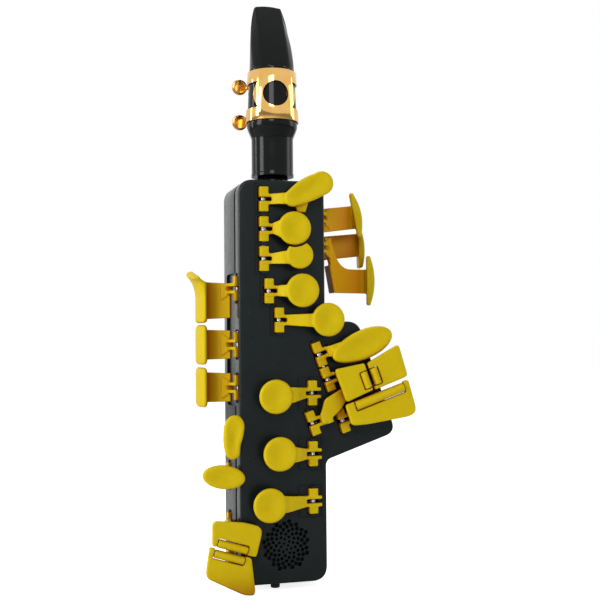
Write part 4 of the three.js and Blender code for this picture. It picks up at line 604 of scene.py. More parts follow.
def front_arm(rise, reach, level, root_z, halves, count=14):
    """The arm of a front key, which climbs from the fork to the touch and widens on each side."""
    rings = []
    for k in range(count + 1):
        part = k / count
        x = SLOT_LONG + (reach - SLOT_LONG) * k / count
        climb = ease((x - HALF_BARREL) / (rise - HALF_BARREL))
        top = -PRONG_TOP - (level - PRONG_TOP) * climb
        low = -AXIS_LIFT + (ARM_THICK - level + AXIS_LIFT) * climb
        below, above = (HALF_FORK + (half - HALF_FORK) * part for half in halves)
        z = root_z * part
        rings.append([(x, top, z - below), (x, top, z + above), (x, low, z + above), (x, low, z - below)])
    return ringed(rings)


def pad(outline):
    return plate(outline, PAD_FRONT, PAD_THICK, PAD_RIM, dish=PAD_DISH)


def to_world(name, solids):
    return [moved(solid, HINGE[name].matrix) for solid in solids]


def make_key(name, solids, made=YELLOW, rounds=3, cutters=()):
    """A key of one moulded body that rides on its own joint."""
    dress(soft("dress_key_" + name, solids, rounds, cutters), name + "_key", made, "keys", "key_" + name)


def front_key(name, *solids, tail=0.0):
    make_key(name, to_world(name, fork(tail) + list(solids)), rounds=FRONT_SMOOTH)


def round_key(name, share, radius, halves, tail=0.0, notch=None):
    """A key with a round touch, with a bite round the place of a notch."""
    x, z = HINGE[name].local(share)
    touch = pad(ellipse((x, z), (radius, radius)))
    if notch:
        middle = HINGE[name].local(notch)
        bite = PAD_RADIUS + BIS_NOTCH_GAP
        whole = ellipse((x, z), (radius, radius), 0, 120)
        outline = [lerp(middle, p, max(bite / math.dist(p, middle), 1)) for p in whole]
        touch = plate(outline, PAD_FRONT, PAD_THICK, PAD_RIM * BIS_RIM_SHARE)
    front_key(name, front_arm(x - radius, x, PAD_ARM_LEVEL, z, halves), touch, tail=tail)


for each, halves in ARM_HALF_WIDTHS.items():
    notch = PAD_SHARES["b"] if each == "bis" else None
    round_key(each, PAD_SHARES[each], BIS_RADIUS if notch else PAD_RADIUS, halves, notch=notch)
for each in STACK_RIGHT:
    round_key(each, PAD_SHARES[each], PAD_RADIUS, HALVES_STACK, FORK_TAIL)


def capsule(low, high, radii, steps=28):
    """A tapered capsule whose long sides swell, the lower one less."""
    lean = math.atan2(high[1] - low[1], high[0] - low[0])
    spread = math.asin((radii[1] - radii[0]) / math.dist(low, high))
    arcs = []
    for middle, radius, start, sweep in (
        (low, radii[0], lean + QUARTER + spread, math.pi - 2 * spread),
        (high, radii[1], lean - QUARTER - spread, math.pi + 2 * spread),
    ):
        angles = [start + sweep * k / steps for k in range(steps + 1)]
        arcs.append([(middle[0] + radius * math.cos(a), middle[1] + radius * math.sin(a)) for a in angles])
    out = []
    for arc, after, swell in ((arcs[0], arcs[1], CAPSULE_BULGE / 2), (arcs[1], arcs[0], CAPSULE_BULGE)):
        out += arc
        last, first = arc[-1], after[0]
        for k in range(1, steps):
            rise = swell * math.sin(math.pi * k / steps) / math.dist(last, first)
            x, z = lerp(last, first, k / steps)
            out.append((x + (first[1] - last[1]) * rise, z - (first[0] - last[0]) * rise))
    return out


def make_front_f():
    """The slanting capsule with its tab."""
    hinge = HINGE["front_f"]
    low, high = (hinge.local(share) for share in CAPSULE_SHARES)
    halves = (HALF_FORK + CAPSULE_ARM_FLARE, HALF_FORK)
    arm = front_arm(low[0] - CAPSULE_RADII[0], low[0], PAD_ARM_LEVEL, low[1], halves)
    tab_front = PAD_FRONT + TAB_DROP
    tab = prism([hinge.local(share) for share in TAB_SHARES], tab_front, tab_front + TAB_THICK)
    front_key("front_f", arm, pad(capsule(low, high, CAPSULE_RADII)), tab)


def make_g_sharp():
    """The ellipse beside the table, blunter at its outer end."""
    x, z = HINGE["g_sharp"].local(ELLIPSE_SHARES)
    outline = []
    for px, pz in ellipse((0, 0), ELLIPSE_RADII, 0, 96):
        pz *= 1 + ELLIPSE_BLUNT * px / ELLIPSE_RADII[0]
        turn = (math.cos(ELLIPSE_TURN), math.sin(ELLIPSE_TURN))
        outline.append((x + px * turn[0] - pz * turn[1], z + px * turn[1] + pz * turn[0]))
    arm = front_arm(x - ELLIPSE_RADII[0] + ELLIPSE_ARM_REACH, x, PAD_ARM_LEVEL, z, HALVES_STACK)
    front_key("g_sharp", arm, pad(outline))


make_front_f()
make_g_sharp()

# Lower left plates: corners, their radii and the lean of the slanted right rim
LOW_PLATES = {
    "e_flat": (
        [(-0.84, 0.1685), (-0.48, 0.16), (-0.271, 0.147), (-0.354, 0.0755), (-0.43, 0.0795), (-0.842, 0.109)],
        [3, 2.2, 5, 1.2, 0.8, 0.9],
        0.16,
    ),
    "low_c": (
        [
            (-0.871, 0.107), (-0.409, 0.0745), (-0.361, -0.0165), (-0.49, -0.0142), (-0.906, 0.0325),
            (-0.91, 0.052),
        ],
        [1, 1.2, 3.4, 2.2, 3, 2.2],
        -0.1,
    ),
}

# Rollers: the middle, the lean of the axis, the length, the radius and the open side of the window
LOW_LEAN = 0.305
ROLLERS = {
    "low_c_sharp": ((0.9045, 0.499), TABLE_TILT, 8.7, 2.1, 1),
    "low_b": ((1.0215, 0.509), TABLE_TILT, 8.7, 2.1, -1),
    "low_b_flat": ((1.0676, 0.4572), TABLE_TILT + QUARTER, 28, 2.45, -1),
    "e_flat": ((-0.6155, 0.1034), LOW_LEAN + QUARTER, 15.8, 2.1, 1),
    "low_c": ((-0.655, 0.0794), LOW_LEAN + QUARTER, 15.8, 2.1, -1),
}
ROLLER_PIN = 0.5
ROLLER_PIN_LONG = 1
ROLLER_PLAY = 0.35
ROLLER_ROUND = 0.5
WINDOW_REACH = 8
TABLE_FRONT = FRONT - TABLE_LIFT
LOW_LIFT = 6.5
LOW_THICK = 2.6
LOW_FRONT = FRONT - LOW_LIFT


def roller_matrix(name):
    share, lean, *_ = ROLLERS[name]
    depth = LOW_FRONT + LOW_THICK / 2 if name in LOW_PLATES else TABLE_FRONT + TABLE_THICK / 2
    x, z = on_front(share)
    return Matrix.Translation((x, depth, z)) @ Matrix.Rotation(lean, 4, "Y")


def roller_window(name):
    """The opening round a roller, which runs out of the plate on one side."""
    _, _, long, radius, opening = ROLLERS[name]
    half = long / 2 + ROLLER_PLAY
    near, far = beside(opening, -radius - ROLLER_PLAY, radius + ROLLER_PLAY + WINDOW_REACH)
    return moved(box((near, -WINDOW_REACH, -half), (far, WINDOW_REACH, half)), roller_matrix(name))


def make_roller(name, steps=6):
    _, _, long, radius, _ = ROLLERS[name]
    half = long / 2
    profile = [(0, -half)]
    for end in (-1, 1):
        corner = []
        for k in range(steps + 1):
            across, down = (ROLLER_ROUND * (1 - f(QUARTER * k / steps)) for f in (math.sin, math.cos))
            corner.append((radius - across, end * (half - down)))
        profile += corner[::-end]
    profile.append((0, half))
    place = roller_matrix(name)
    body = name + "_roller"
    barrel = moved(turned(profile, 40), place)
    put("roller_" + name, [barrel], 50, YELLOW, "keys", "roller_" + name, body=body)
    pin = bar(ROLLER_PIN, -half - ROLLER_PIN_LONG, half + ROLLER_PIN_LONG, 14)
    put("roller_pin_" + name, [moved(pin, place)], 50, STEEL, "keys", body=body)


for each in ROLLERS:
    make_roller(each)

# The table plates
PLATES = {
    "low_c_sharp": ([(0.537, 0.5265), (0.886, 0.541), (0.99, 0.474), (0.672, 0.4445)], [2, 0.9, 0.9, 1.6]),
    "low_b": ([(0.92, 0.541), (1.298, 0.5875), (1.408, 0.507), (1.01, 0.474)], [0.9, 1.8, 1.8, 0.9]),
    "low_b_flat": (
        [(0.657, 0.438), (1.411, 0.499), (1.512, 0.42), (1.44, 0.406), (0.9, 0.3885), (0.732, 0.387)],
        [1.6, 1.6, 4, 4, 4, 2],
    ),
}
RISE_LONG = 4
RISER_LONG = 5
SLOT_CLEAR = 3
UNDER_ARM_RIM = 0.4
BENT_ARM_SHARES = [
    (0.42, 0.425), (0.45, 0.452), (0.66, 0.478), (1.13, 0.528), (1.175, 0.501), (0.7, 0.446), (0.635, 0.424),
]


def slot_cutter(name):
    low = (-HALF_BARREL - SLOT_CLEAR, -BARREL - SLOT_CLEAR, -SLOT_WIDE / 2)
    return moved(box(low, (SLOT_LONG, BARREL, SLOT_WIDE / 2)), HINGE[name].matrix)


def table_plate(name):
    shares, rounds = PLATES[name]
    return plate(rounded([on_front(share) for share in shares], rounds), TABLE_FRONT, TABLE_THICK, PLATE_RIM)


for each in ("low_c_sharp", "low_b_flat"):
    rise = HALF_BARREL + RISE_LONG
    arm = front_arm(rise, rise + RISE_LONG / 2, TABLE_LIFT - AXIS_LIFT - ARM_SHY, 0, HALVES_FORK)
    make_key(each, to_world(each, fork() + [arm]) + [table_plate(each)], cutters=[roller_window(each)])


def make_low_b():
    """The low B plate on a riser from a bent arm that passes under its neighbour."""
    hinge = HINGE["low_b"]
    level = UNDER_ARM_LIFT - AXIS_LIFT
    points = [hinge.local(share) for share in BENT_ARM_SHARES]
    bent = rounded([(SLOT_LONG, HALF_FORK), *points, (SLOT_LONG, -HALF_FORK)], ARM_BEND_ROUND)
    under = plate(bent, -level, UNDER_ARM_THICK, UNDER_ARM_RIM)
    corner_z = hinge.local(PLATES["low_b"][0][3])[1]
    middle, _, long, radius, _ = ROLLERS["low_b"]
    start = hinge.local(middle)[0] + radius + 2 * ROLLER_PLAY
    riser = box(
        (start, -TABLE_LIFT + AXIS_LIFT + ARM_SHY, corner_z + ARM_BEND_ROUND),
        (start + RISER_LONG, UNDER_ARM_THICK - level, corner_z + long),
    )
    reach = SLOT_LONG + RISE_LONG
    arm = front_arm(reach, reach + RISE_LONG / 2, level, 0, HALVES_FORK)
    solids = to_world("low_b", fork() + [arm, under, riser]) + [table_plate("low_b")]
    make_key("low_b", solids, cutters=[roller_window("low_b"), slot_cutter("low_b")])


make_low_b()

# Side and palm keys
WEB_THICK = 2.4
WEB_START = (4.2, -3)
ROOT_SHY = 0.2
SIDE_TOUCH_DEEP = 16
SIDE_TOUCH_THICK = 3.6
SIDE_TOUCH_CORNER = 1.7
SIDE_TOUCH_TALL = 20.7
SIDE_TOUCH_END = 2.8
SIDE_TOUCH_CROWN = 0.8
SIDE_TOUCH_SQUARE = 0.55
SIDE_TOUCH_THIN = 0.25
SIDE_REACH = 17.45
SIDE_BACK = 12.2
SIDE_LEAN = 0.11
SIDE_WEB_TALL = 15.8
SIDE_WEB_TAPER = 0.6
HORN_UP = 10.4
HORN_OUT = 5
HORN_THICK = 5
HORN_SHOULDER = 3.9
HORN_BEND = (-1.2, 6)
HORN_FRONT_UP = 6.4
HORN_SIDE_UP = 2.5
HORN_DOWN = 17.8
HORN_RIM = 0.9
HORN_RIM_POWER = 7
FLARE_LONG = 5
FLARE_WIDE = 12
FLARE_THICK = 3.6
PALM_TOUCH_DEEP = 10.4
PALM_RIMS = (0.9, 0.8)
PALM = {
    "palm_d": {"back": 0.39, "out": 0.563, "tall": 0.117, "low": -0.0371, "high": 0.0245, "rise": 0.018,
               "up": 0.016, "lean": 0.19, "turn": -0.33, "bulge": 5.4},
    "palm_e_flat": {"back": 0.474, "out": 0.7, "tall": 0.1, "low": -0.0297, "high": 0.0325, "rise": 0.0188,
                    "up": 0.0072, "lean": 0.02, "turn": -0.2, "bulge": 3.6},
    "palm_f": {"back": 0.364, "out": 0.713, "tall": 0.1305, "low": -0.115, "high": -0.0512, "rise": 0,
               "up": -0.081, "lean": 0, "turn": -0.33, "bulge": 5.4},
}
BRACE_TOP = 5.6
BRACE_LOW_EDGE = [(0.03, 1), (0.051, 0.13), (0.102, -0.7), (0.176, -1.94), (0.212, -3.05), (0.242, -4.27)]
BRACE_HIGH_EDGE = [
    (0.6, -1.95), (0.533, -1.93), (0.485, -1.87), (0.44, -1.77), (0.39, -1.6), (0.347, -1.38), (0.308, -1.1),
    (0.271, -0.73), (0.235, -0.23), (0.197, 0.37), (0.15, 1),
]
BRACE_RIB_THICK = 1.6
BRACE_RIB_DEEP = 9
BRACE_RIB_SHARES = (0.155, 0.242)
BRACE_RIB_HIGH = -9
LENS_TIP = 2.6


def quad(start, bend, end, steps=12):
    """The places along a curve with one bend, after its start."""
    return [
        tuple((1 - t) ** 2 * a + 2 * t * (1 - t) * b + t * t * c for a, b, c in zip(start, bend, end))
        for t in (k / steps for k in range(1, steps + 1))
    ]


def curved(start, *curves):
    """An outline of curves from end to end, each a bend, an end and a count, or of straight ends."""
    out = [start]
    for curve in curves:
        out += quad(out[-1], *curve) if len(curve) == 3 else [curve]
    return out


def strip(stations, thick):
    """A band that runs through stations of local x, y, low and high."""
    rings = []
    for i, (x, y, low, high) in enumerate(stations):
        before = stations[max(i - 1, 0)]
        after = stations[min(i + 1, len(stations) - 1)]
        away = math.dist(before[:2], after[:2])
        ax = (after[1] - before[1]) / away * thick / 2
        ay = (after[0] - before[0]) / away * thick / 2
        (px, py), (qx, qy) = (x + ax, y - ay), (x - ax, y + ay)
        rings.append([(px, py, low), (px, py, high), (qx, qy, high), (qx, qy, low)])
    return ringed(rings)


def arm_root(*bends):
    """The part of an outward arm round its rod, from a section that passes through the bends."""
    foot = [(HALF_BARREL, PRONG_LOW), (-HALF_BARREL, PRONG_LOW)]
    section = [(-HALF_BARREL, -PRONG_TOP + ROOT_SHY), *bends, *foot]
    return column(section, -HALF_FORK, HALF_FORK)


def out_arm(end, flare_low=-FLARE_WIDE / 2):
    """The arm of a key that leaves its face outwards, flared where it meets the web."""
    x, y = WEB_START
    half = WEB_THICK / 2
    root = arm_root((x - half, y - WEB_THICK), (x + half, y - HALF_BARREL), (x + half, y), (HALF_BARREL, 0))
    tip = lerp(WEB_START, end, FLARE_LONG / math.dist(WEB_START, end))
    flare = strip([(*WEB_START, -HALF_FORK, HALF_FORK), (*tip, flare_low, FLARE_WIDE / 2)], FLARE_THICK)
    return [root, flare]


def barrels():
    return box((-HALF_BARREL, -HALF_BARREL, -HALF_HINGE), (HALF_BARREL, HALF_BARREL, HALF_HINGE))


def stand_out(name, solid, back, out, up, lean):
    """A touch drawn as seen from the front, put at its place beside the housing."""
    at = HINGE[name].at
    side = -1 if HINGE[name].face == "left" else 1
    place = Matrix.Translation((at.x + side * out, at.y + back, at.z + up))
    return moved(solid, place @ Matrix.Rotation(lean, 4, "Z"))


def shaped_web(end, side):
    """An upright web whose side outline is given as shares of its run and in z."""
    turn = math.atan2(end[1] - WEB_START[1], end[0] - WEB_START[0])
    run = math.dist(WEB_START, end)
    web = prism([(part * run, z) for part, z in side], -WEB_THICK / 2, WEB_THICK / 2)
    return moved(web, Matrix.Translation((*WEB_START, 0)) @ Matrix.Rotation(turn, 4, "Z"))


def side_key(name, own, touch):
    made = YELLOW_SIDE_WEB_SHADE if HINGE[name].face == "left" else YELLOW_PALM_D_WEB_SHADE if name == "palm_d" else YELLOW_PALM_WEB_SHADE
    make_key(name, to_world(name, [barrels(), *own]) + [touch], made, cutters=[slot_cutter(name)])


def pill(tall, count=40, steps=9):
    """An upright touch with rounded ends and a crowned outer side."""
    half = tall / 2
    heights = [-half + SIDE_TOUCH_END * (1 - math.cos(QUARTER * k / steps)) for k in range(steps + 1)]
    rings = []
    for z in heights + [-z for z in reversed(heights)]:
        share = max(0, (abs(z) - half + SIDE_TOUCH_END) / SIDE_TOUCH_END)
        full = math.sqrt(max(1 - share * share, 0))
        deep = SIDE_TOUCH_DEEP / 2 - SIDE_TOUCH_END * (1 - full)
        thick = SIDE_TOUCH_THICK / 2 * (SIDE_TOUCH_THIN + (1 - SIDE_TOUCH_THIN) * full)
        ring = []
        for x, y, _ in circle(1, 0, count):
            x, y = (math.copysign(abs(c) ** SIDE_TOUCH_SQUARE, c) for c in (x, y))
            crown = SIDE_TOUCH_CROWN * y * y if x < 0 else 0
            ring.append((x * thick + crown * abs(x), y * deep, z))
        rings.append(ring)
    return ringed(rings)


def horn_touch(steps=12):
    """The longest side touch, whose top bends into a horn that falls away to the front."""
    half = SIDE_TOUCH_THICK / 2
    outline = curved(
        (-half, -HORN_DOWN + SIDE_TOUCH_CORNER),
        ((-half, -HORN_DOWN), (0, -HORN_DOWN), 6),
        ((half, -HORN_DOWN), (half, -HORN_DOWN + SIDE_TOUCH_CORNER), 6),
        (half, HORN_SHOULDER),
        (HORN_BEND, (-HORN_OUT + half, HORN_UP), 12),
        ((-HORN_OUT - half, HORN_UP), (-HORN_OUT - half, HORN_UP - HORN_THICK / 2), 8),
        ((-half, HORN_SIDE_UP), (-half, -HORN_THICK), 12),
    )
    bend = HORN_SHOULDER / 2
    rings = []
    for k in range(steps + 1):
        sway = math.sin(QUARTER * (2 * k / steps - 1))
        edge = 1 - math.sqrt(max(1 - abs(sway) ** HORN_RIM_POWER, 0))
        drop = (HORN_UP - HORN_FRONT_UP) * (0.5 - sway / 2)
        ring = []
        for x, z in inset(outline, HORN_RIM * half * edge):
            z = max(z, -HORN_DOWN + SIDE_TOUCH_END * edge)
            z -= drop * ease((z - bend) / (HORN_UP - bend))
            crown = SIDE_TOUCH_CROWN * sway ** 2 if x < -half / 2 else 0
            ring.append((x + crown, SIDE_TOUCH_DEEP / 2 * sway, z))
        rings.append(ring)
    return ringed(rings)


SIDE_END = (SIDE_BACK, -SIDE_REACH + SIDE_TOUCH_THICK / 4)
SIDE_HALF = SIDE_WEB_TALL / 2
SIDE_FOOT = SIDE_HALF - SIDE_WEB_TAPER
for each in ("side_c", "side_high_e"):
    web = shaped_web(SIDE_END, [(0, -SIDE_FOOT), (1, -SIDE_HALF), (1, SIDE_HALF), (0, SIDE_FOOT)])
    touch = stand_out(each, pill(SIDE_TOUCH_TALL), SIDE_BACK, SIDE_REACH, 0, SIDE_LEAN)
    side_key(each, out_arm(SIDE_END) + [web], touch)
horn_web = shaped_web(
    SIDE_END, [(0, -HALF_FORK), (1, -HORN_SHOULDER), (1, SIDE_WEB_TALL), (0, SIDE_WEB_TALL - SIDE_WEB_TAPER)]
)
horn = stand_out("side_b_flat", horn_touch(), SIDE_BACK, SIDE_REACH, 0, SIDE_LEAN)
side_key("side_b_flat", out_arm(SIDE_END, -HALF_FORK) + [horn_web], horn)


def lens(tall, bulge):
    """A palm touch, flat towards the housing and bulged outwards."""
    half = tall / 2
    tip = LENS_TIP / 2
    outline = curved(
        (-tip, -half + tip),
        ((-tip, -half), (0, -half), 6),
        ((tip, -half), (tip, -half + tip), 6),
        ((bulge, 0), (tip, half - tip), 20),
        ((tip, half), (0, half), 6),
        ((-tip, half), (-tip, half - tip), 6),
    )
    return plate(outline, -PALM_TOUCH_DEEP / 2, PALM_TOUCH_DEEP, *PALM_RIMS)


for each, key in PALM.items():
    end = (key["back"] * DEEP, -key["out"] * WIDE)
    low, high, rise, up, tall = (key[part] * TALL for part in ("low", "high", "rise", "up", "tall"))
    touch = moved(lens(tall, key["bulge"]), Matrix.Rotation(-key["lean"], 4, "Y"))
    touch = stand_out(each, touch, end[0], -end[1], up, key["turn"])
    own = out_arm(end)
    if each == "palm_f":
        before, after = (
            [(part, share * BRACE_TOP) for part, share in edge] for edge in (BRACE_LOW_EDGE, BRACE_HIGH_EDGE)
        )
        own.append(shaped_web(end, before + [(1, low), (1, high)] + after))
        half = BRACE_RIB_THICK / 2
        upper, lower = (WEB_START[1] + part * (end[1] - WEB_START[1]) for part in BRACE_RIB_SHARES)
        section = [
            (upper + half, BRACE_RIB_HIGH), (upper - half, BRACE_RIB_HIGH),
            (lower - half, low), (lower + half, low),
        ]
        sides = (WEB_START[0], WEB_START[0] + BRACE_RIB_DEEP)
        own.append(ringed([[(x, y, z) for y, z in section] for x in sides]))
    else:
        own.append(shaped_web(end, [(0, low), (1, low + rise), (1, high + rise), (0, high)]))
    side_key(each, own, touch)

# Lower left keys
SIDE_ARM_THICK = 2.2
SIDE_ARM_NEAR_OUT = 3.2
SIDE_ARM_FAR_OUT = 7.4
SIDE_ARM_TALL = 8
SIDE_ARM_FULL = 14
SIDE_ARM_STEPS = 12
SIDE_ARM_UP_SHARES = {"high_f_sharp": 0.0025, "fork_f_sharp": 0.0127, "e_flat": 0.009, "low_c": -0.0069}
BEAN_SHARES = [
    (-0.704, 0.3995), (-0.634, 0.4185), (-0.53, 0.42), (-0.468, 0.398), (-0.488, 0.367), (-0.522, 0.345),
    (-0.527, 0.32), (-0.61, 0.309), (-0.69, 0.322), (-0.716, 0.357),
]
BEAN_ROUND = 3
OVAL_SHARES = (-0.707, 0.271)
OVAL_RADII = (11, 6)
OVAL_LEAN = 0.14
LOW_RIM_RIGHT = 2.3
LOW_RIM_SLOPE = 0.32
LOW_RIM_CUT = (8, 2)


def low_touch(name):
    """The touch of a lower left key: a bean, an oval or a plate with a slanted right rim."""
    if name in LOW_PLATES:
        shares, rounds, lean = LOW_PLATES[name]
        outline = rounded([on_front(share) for share in shares], rounds)
        right = max(x for x, _ in outline) - LOW_RIM_RIGHT
        wide, deep = LOW_RIM_CUT
        slope = moved(box((0, -deep, -TALL), (wide, 0, TALL)), Matrix.Rotation(LOW_RIM_SLOPE, 4, "Z"))
        place = Matrix.Translation((right, LOW_FRONT, outline[0][1] / 2)) @ Matrix.Rotation(lean, 4, "Y")
        return shaped(plate(outline, LOW_FRONT, LOW_THICK, PLATE_RIM), [(CUT, moved(slope, place))])
    if name == "high_f_sharp":
        outline = rounded([on_front(share) for share in BEAN_SHARES], BEAN_ROUND)
    else:
        outline = ellipse(on_front(OVAL_SHARES), OVAL_RADII, -OVAL_LEAN)
    return plate(outline, LOW_FRONT, LOW_THICK, PAD_RIM, dish=PAD_DISH)


for each, up_share in SIDE_ARM_UP_SHARES.items():
    reach = HINGE[each].at.y - LOW_FRONT - LOW_THICK / 2
    start = (HALF_BARREL + SIDE_ARM_THICK, -SIDE_ARM_NEAR_OUT)
    up = up_share * TALL
    stations = []
    for k in range(SIDE_ARM_STEPS + 1):
        x, y = lerp(start, (reach, -SIDE_ARM_FAR_OUT), k / SIDE_ARM_STEPS)
        widen = ease((x - start[0]) / (SIDE_ARM_FULL - start[0]))
        half = HALF_FORK + (SIDE_ARM_TALL / 2 - HALF_FORK) * widen
        stations.append((x, y, up * widen - half, up * widen + half))
    left, right = start[0] - SIDE_ARM_THICK, start[0] + SIDE_ARM_THICK
    outer, inner = start[1] - SIDE_ARM_THICK / 2, start[1] + SIDE_ARM_THICK / 2
    root = arm_root((left, outer), (right, outer), (right, inner), (HALF_BARREL, -AXIS_LIFT))
    cutters = [slot_cutter(each)] + ([roller_window(each)] if each in ROLLERS else [])
    own = to_world(each, [root, barrels(), strip(stations, SIDE_ARM_THICK)])
    make_key(each, own + [low_touch(each)], cutters=cutters)

# The octave key on the back
OCTAVE_REACH = 17
OCTAVE_RADII = (8.5, 6.5)
octave_level = PAD_LIFT - AXIS_LIFT - ARM_SHY
octave_arm = front_arm(OCTAVE_REACH - OCTAVE_RADII[0], OCTAVE_REACH, octave_level, 0, (ARM_WIDE / 2,) * 2)
front_key("octave", octave_arm, pad(ellipse((OCTAVE_REACH, 0), OCTAVE_RADII)))

# Rods and their return springs
ROWS = {
    "upper": ["front_f", "b", "bis"],
    **{name: [name] for name in ("a", "g", "f", "e", "d")},
    "table": ["g_sharp", "low_c_sharp"],
    **{name: [name] for name in ("low_b", "low_b_flat")},
    "side": ["side_b_flat", "side_c", "side_high_e"],
    "palm_front": ["palm_d", "palm_f"],
    "palm_rear": ["palm_e_flat"],
    "low_upper": ["high_f_sharp", "fork_f_sharp"],
    "low_lower": ["e_flat", "low_c"],
    "octave": ["octave"],
}
ROD_END = 0.3
SPRING_SLACK = 0.12
SPRING_LEAD = [(2.6, 0.05), (1.2, 0.02)]
SPRING_TAIL = [(0.9, 0.15), (1.9, 0.5), (2.1, 0.9)]
for rod, row in ROWS.items():
    base = HINGE[row[0]]
    heights = [(base.inverse @ HINGE[each].at).z for each in row]
    reach = HALF_HINGE + GAP + POST_LONG - ROD_END
    solid = moved(bar(ROD_RADIUS, min(heights) - reach, max(heights) + reach), base.matrix)
    put("rod_" + rod, [solid], 50, STEEL, "steel", "rod_" + rod)


def make_spring(name, steps=18):
    """A torsion spring round the rod, with one leg under the arm and the other in the housing."""
    half = SLOT_WIDE / 2 - SPRING_WIRE - SPRING_SLACK
    points = [(x, SPRING_COIL + deeper, -half) for x, deeper in SPRING_LEAD]
    count = SPRING_TURNS * steps
    for k in range(count + 1):
        angle = TURN * k / steps
        z = -half + 2 * half * k / count
        points.append((SPRING_COIL * math.sin(angle), SPRING_COIL * math.cos(angle), z))
    points += [(x, SPRING_COIL + deeper, half) for x, deeper in SPRING_TAIL]
    put("spring_" + name, [moved(tube(points, SPRING_WIRE), HINGE[name].matrix)], 70, STEEL, "steel")


for each in HINGES:
    make_spring(each)

# Housing halves
CUP_WALL = 1.2
CUP_TOP = 0.6
REACH = 4
POST_OVERLAP = 0.02
OUTLINE_STEPS = 14
REBATE_LONG = 3
REBATE_DEEP = 0.5
REBATE_OVERLAP = 1
SEAM_RIM = 0.1
BACK_RIM = 0.2
MOUTH_NECK = 8.3
NECK_HOLE = MOUTH_NECK + GAP
BUTTON_AT = (-3.6, FRONT + 6.1)
BUTTON_RADIUS = 2.4
CORNERS = [(LEFT, 0), (RIGHT, 0), (RIGHT, TALL), (LEFT, TALL)]
FRONT_OUTLINE = rounded(
    CORNERS[:2] + [on_front(share) for share in reversed(WING_SHARES)] + CORNERS[2:],
    [CORNER, CORNER, WING_CORNER / 2, WING_CORNER, WING_CORNER, WING_ROOT_ROUND, CORNER, CORNER],
    OUTLINE_STEPS,
)
CAVITY = rounded(
    [(LEFT + WALL, WALL), (RIGHT - WALL, WALL), (RIGHT - WALL, TALL - WALL), (LEFT + WALL, TALL - WALL)],
    CORNER - WALL,
)


def pocket_parts(hinge):
    """The cup behind a hinge's pocket, the pocket and the relief under the arm, and the posts of the rod."""
    reach = HALF_HINGE + GAP
    top = reach + (POST_LONG if hinge.open > 0 else 0)
    bottom = reach + (POST_LONG if hinge.open < 0 else 0)
    cup = box(
        (-POCKET_HALF - CUP_WALL, CUP_TOP, -bottom - CUP_WALL),
        (POCKET_HALF + CUP_WALL, POCKET_HALF + CUP_WALL, top + CUP_WALL),
    )
    pocket = box((-POCKET_HALF, -REACH, -bottom), (POCKET_HALF, POCKET_HALF, top))
    deep = RELIEF_DEEP_SIDE if hinge.face in ("left", "right") else RELIEF_DEEP
    relief = box((0, -REACH, -HALF_FORK - GAP), (POCKET_HALF + RELIEF_LONG, deep, HALF_FORK + GAP))
    posts = []
    for side in (1, -1):
        if hinge.open != side:
            near, far = beside(side, reach - POST_OVERLAP, reach + POST_LONG)
            posts.append(box((-POST_WIDE / 2, -POST_OUT, near), (POST_WIDE / 2, CUP_WALL, far)))
    placed = [moved(s, hinge.matrix) for s in (cup, pocket, relief, *posts)]
    return placed[0], placed[1:3], placed[3:]


def groove(name, corners):
    """Straight cuts between corners given from a hinge."""
    half = GROOVE_WIDE / 2
    cuts = []
    for (ax, az), (bx, bz) in zip(corners, corners[1:]):
        low = (min(ax, bx) - half, -REACH, min(az, bz) - half)
        high = (max(ax, bx) + half, GROOVE_DEEP, max(az, bz) + half)
        cuts.append((CUT, moved(box(low, high), HINGE[name].matrix)))
    return cuts


def cut_both(*solids):
    for solid in solids:
        front_steps.append((CUT, solid))
        back_steps.append((CUT, solid))


rebate_long = REBATE_LONG + REBATE_OVERLAP
rebate = plate(inset(FRONT_OUTLINE, REBATE_DEEP), SEAM - rebate_long, rebate_long, SEAM_RIM)
front_steps = [(JOIN, rebate), (CUT, prism(CAVITY, FRONT + WALL, DEEP))]
back_steps = [(CUT, prism(CAVITY, -DEEP, BACK - WALL))]
pockets = []
posts = []
for hinge in HINGE.values():
    cup, own_pockets, own_posts = pocket_parts(hinge)
    target = front_steps if hinge.at.y < SEAM else back_steps
    target.append((JOIN, cup))
    pockets += own_pockets
    posts += [(target, post) for post in own_posts]
cut_both(*pockets)
for target, post in posts:
    target.append((JOIN, post))

# Speaker grille and the openings for the neck and the button
holes = []
grille = on_front(GRILLE_SHARES)
for i in range(GRILLE_HOLES):
    out = math.sqrt((i + 0.5) / GRILLE_HOLES)
    turn = i * GOLDEN_TURN_SHARE * TURN
    radius = GRILLE_HOLE_INNER + (GRILLE_HOLE_OUTER - GRILLE_HOLE_INNER) * out
    at = (grille[0] + GRILLE_RADIUS * out * math.cos(turn), grille[1] + GRILLE_RADIUS * out * math.sin(turn))
    holes.append(prism(ellipse(at, (radius, radius), 0, 20), FRONT - REACH, FRONT + WALL + GAP))
front_steps.append((CUT, merged(holes)))
cut_both(turned(cylinder(NECK_HOLE, TALL - WALL - REACH, TALL + REACH)))
button_hole = turned(cylinder(BUTTON_RADIUS + GAP, -REACH, WALL + REACH), 32)
front_steps.append((CUT, moved(button_hole, Matrix.Translation((*BUTTON_AT, 0)))))

# Fine grooves on the front beside the hinges
GROOVE_WIDE = 0.7
GROOVE_DEEP = 0.7
GROOVE_OUT = 2.2
GROOVE_NEAR = 7.5
GROOVE_RUN = 1.6
edge = -HALF_BARREL - GROOVE_OUT
tall = HALF_HINGE + GROOVE_RUN
for each in STACK_RIGHT:
    front_steps += groove(
        each, [(GROOVE_NEAR, tall), (edge, tall), (edge, -tall), (GROOVE_NEAR, -tall), (GROOVE_NEAR, tall)]
    )
for each in STACK_LEFT:
    start = edge + GROOVE_OUT / 2
    front_steps += groove(each, [(start, tall), (edge, tall), (edge, -tall), (start, -tall)])

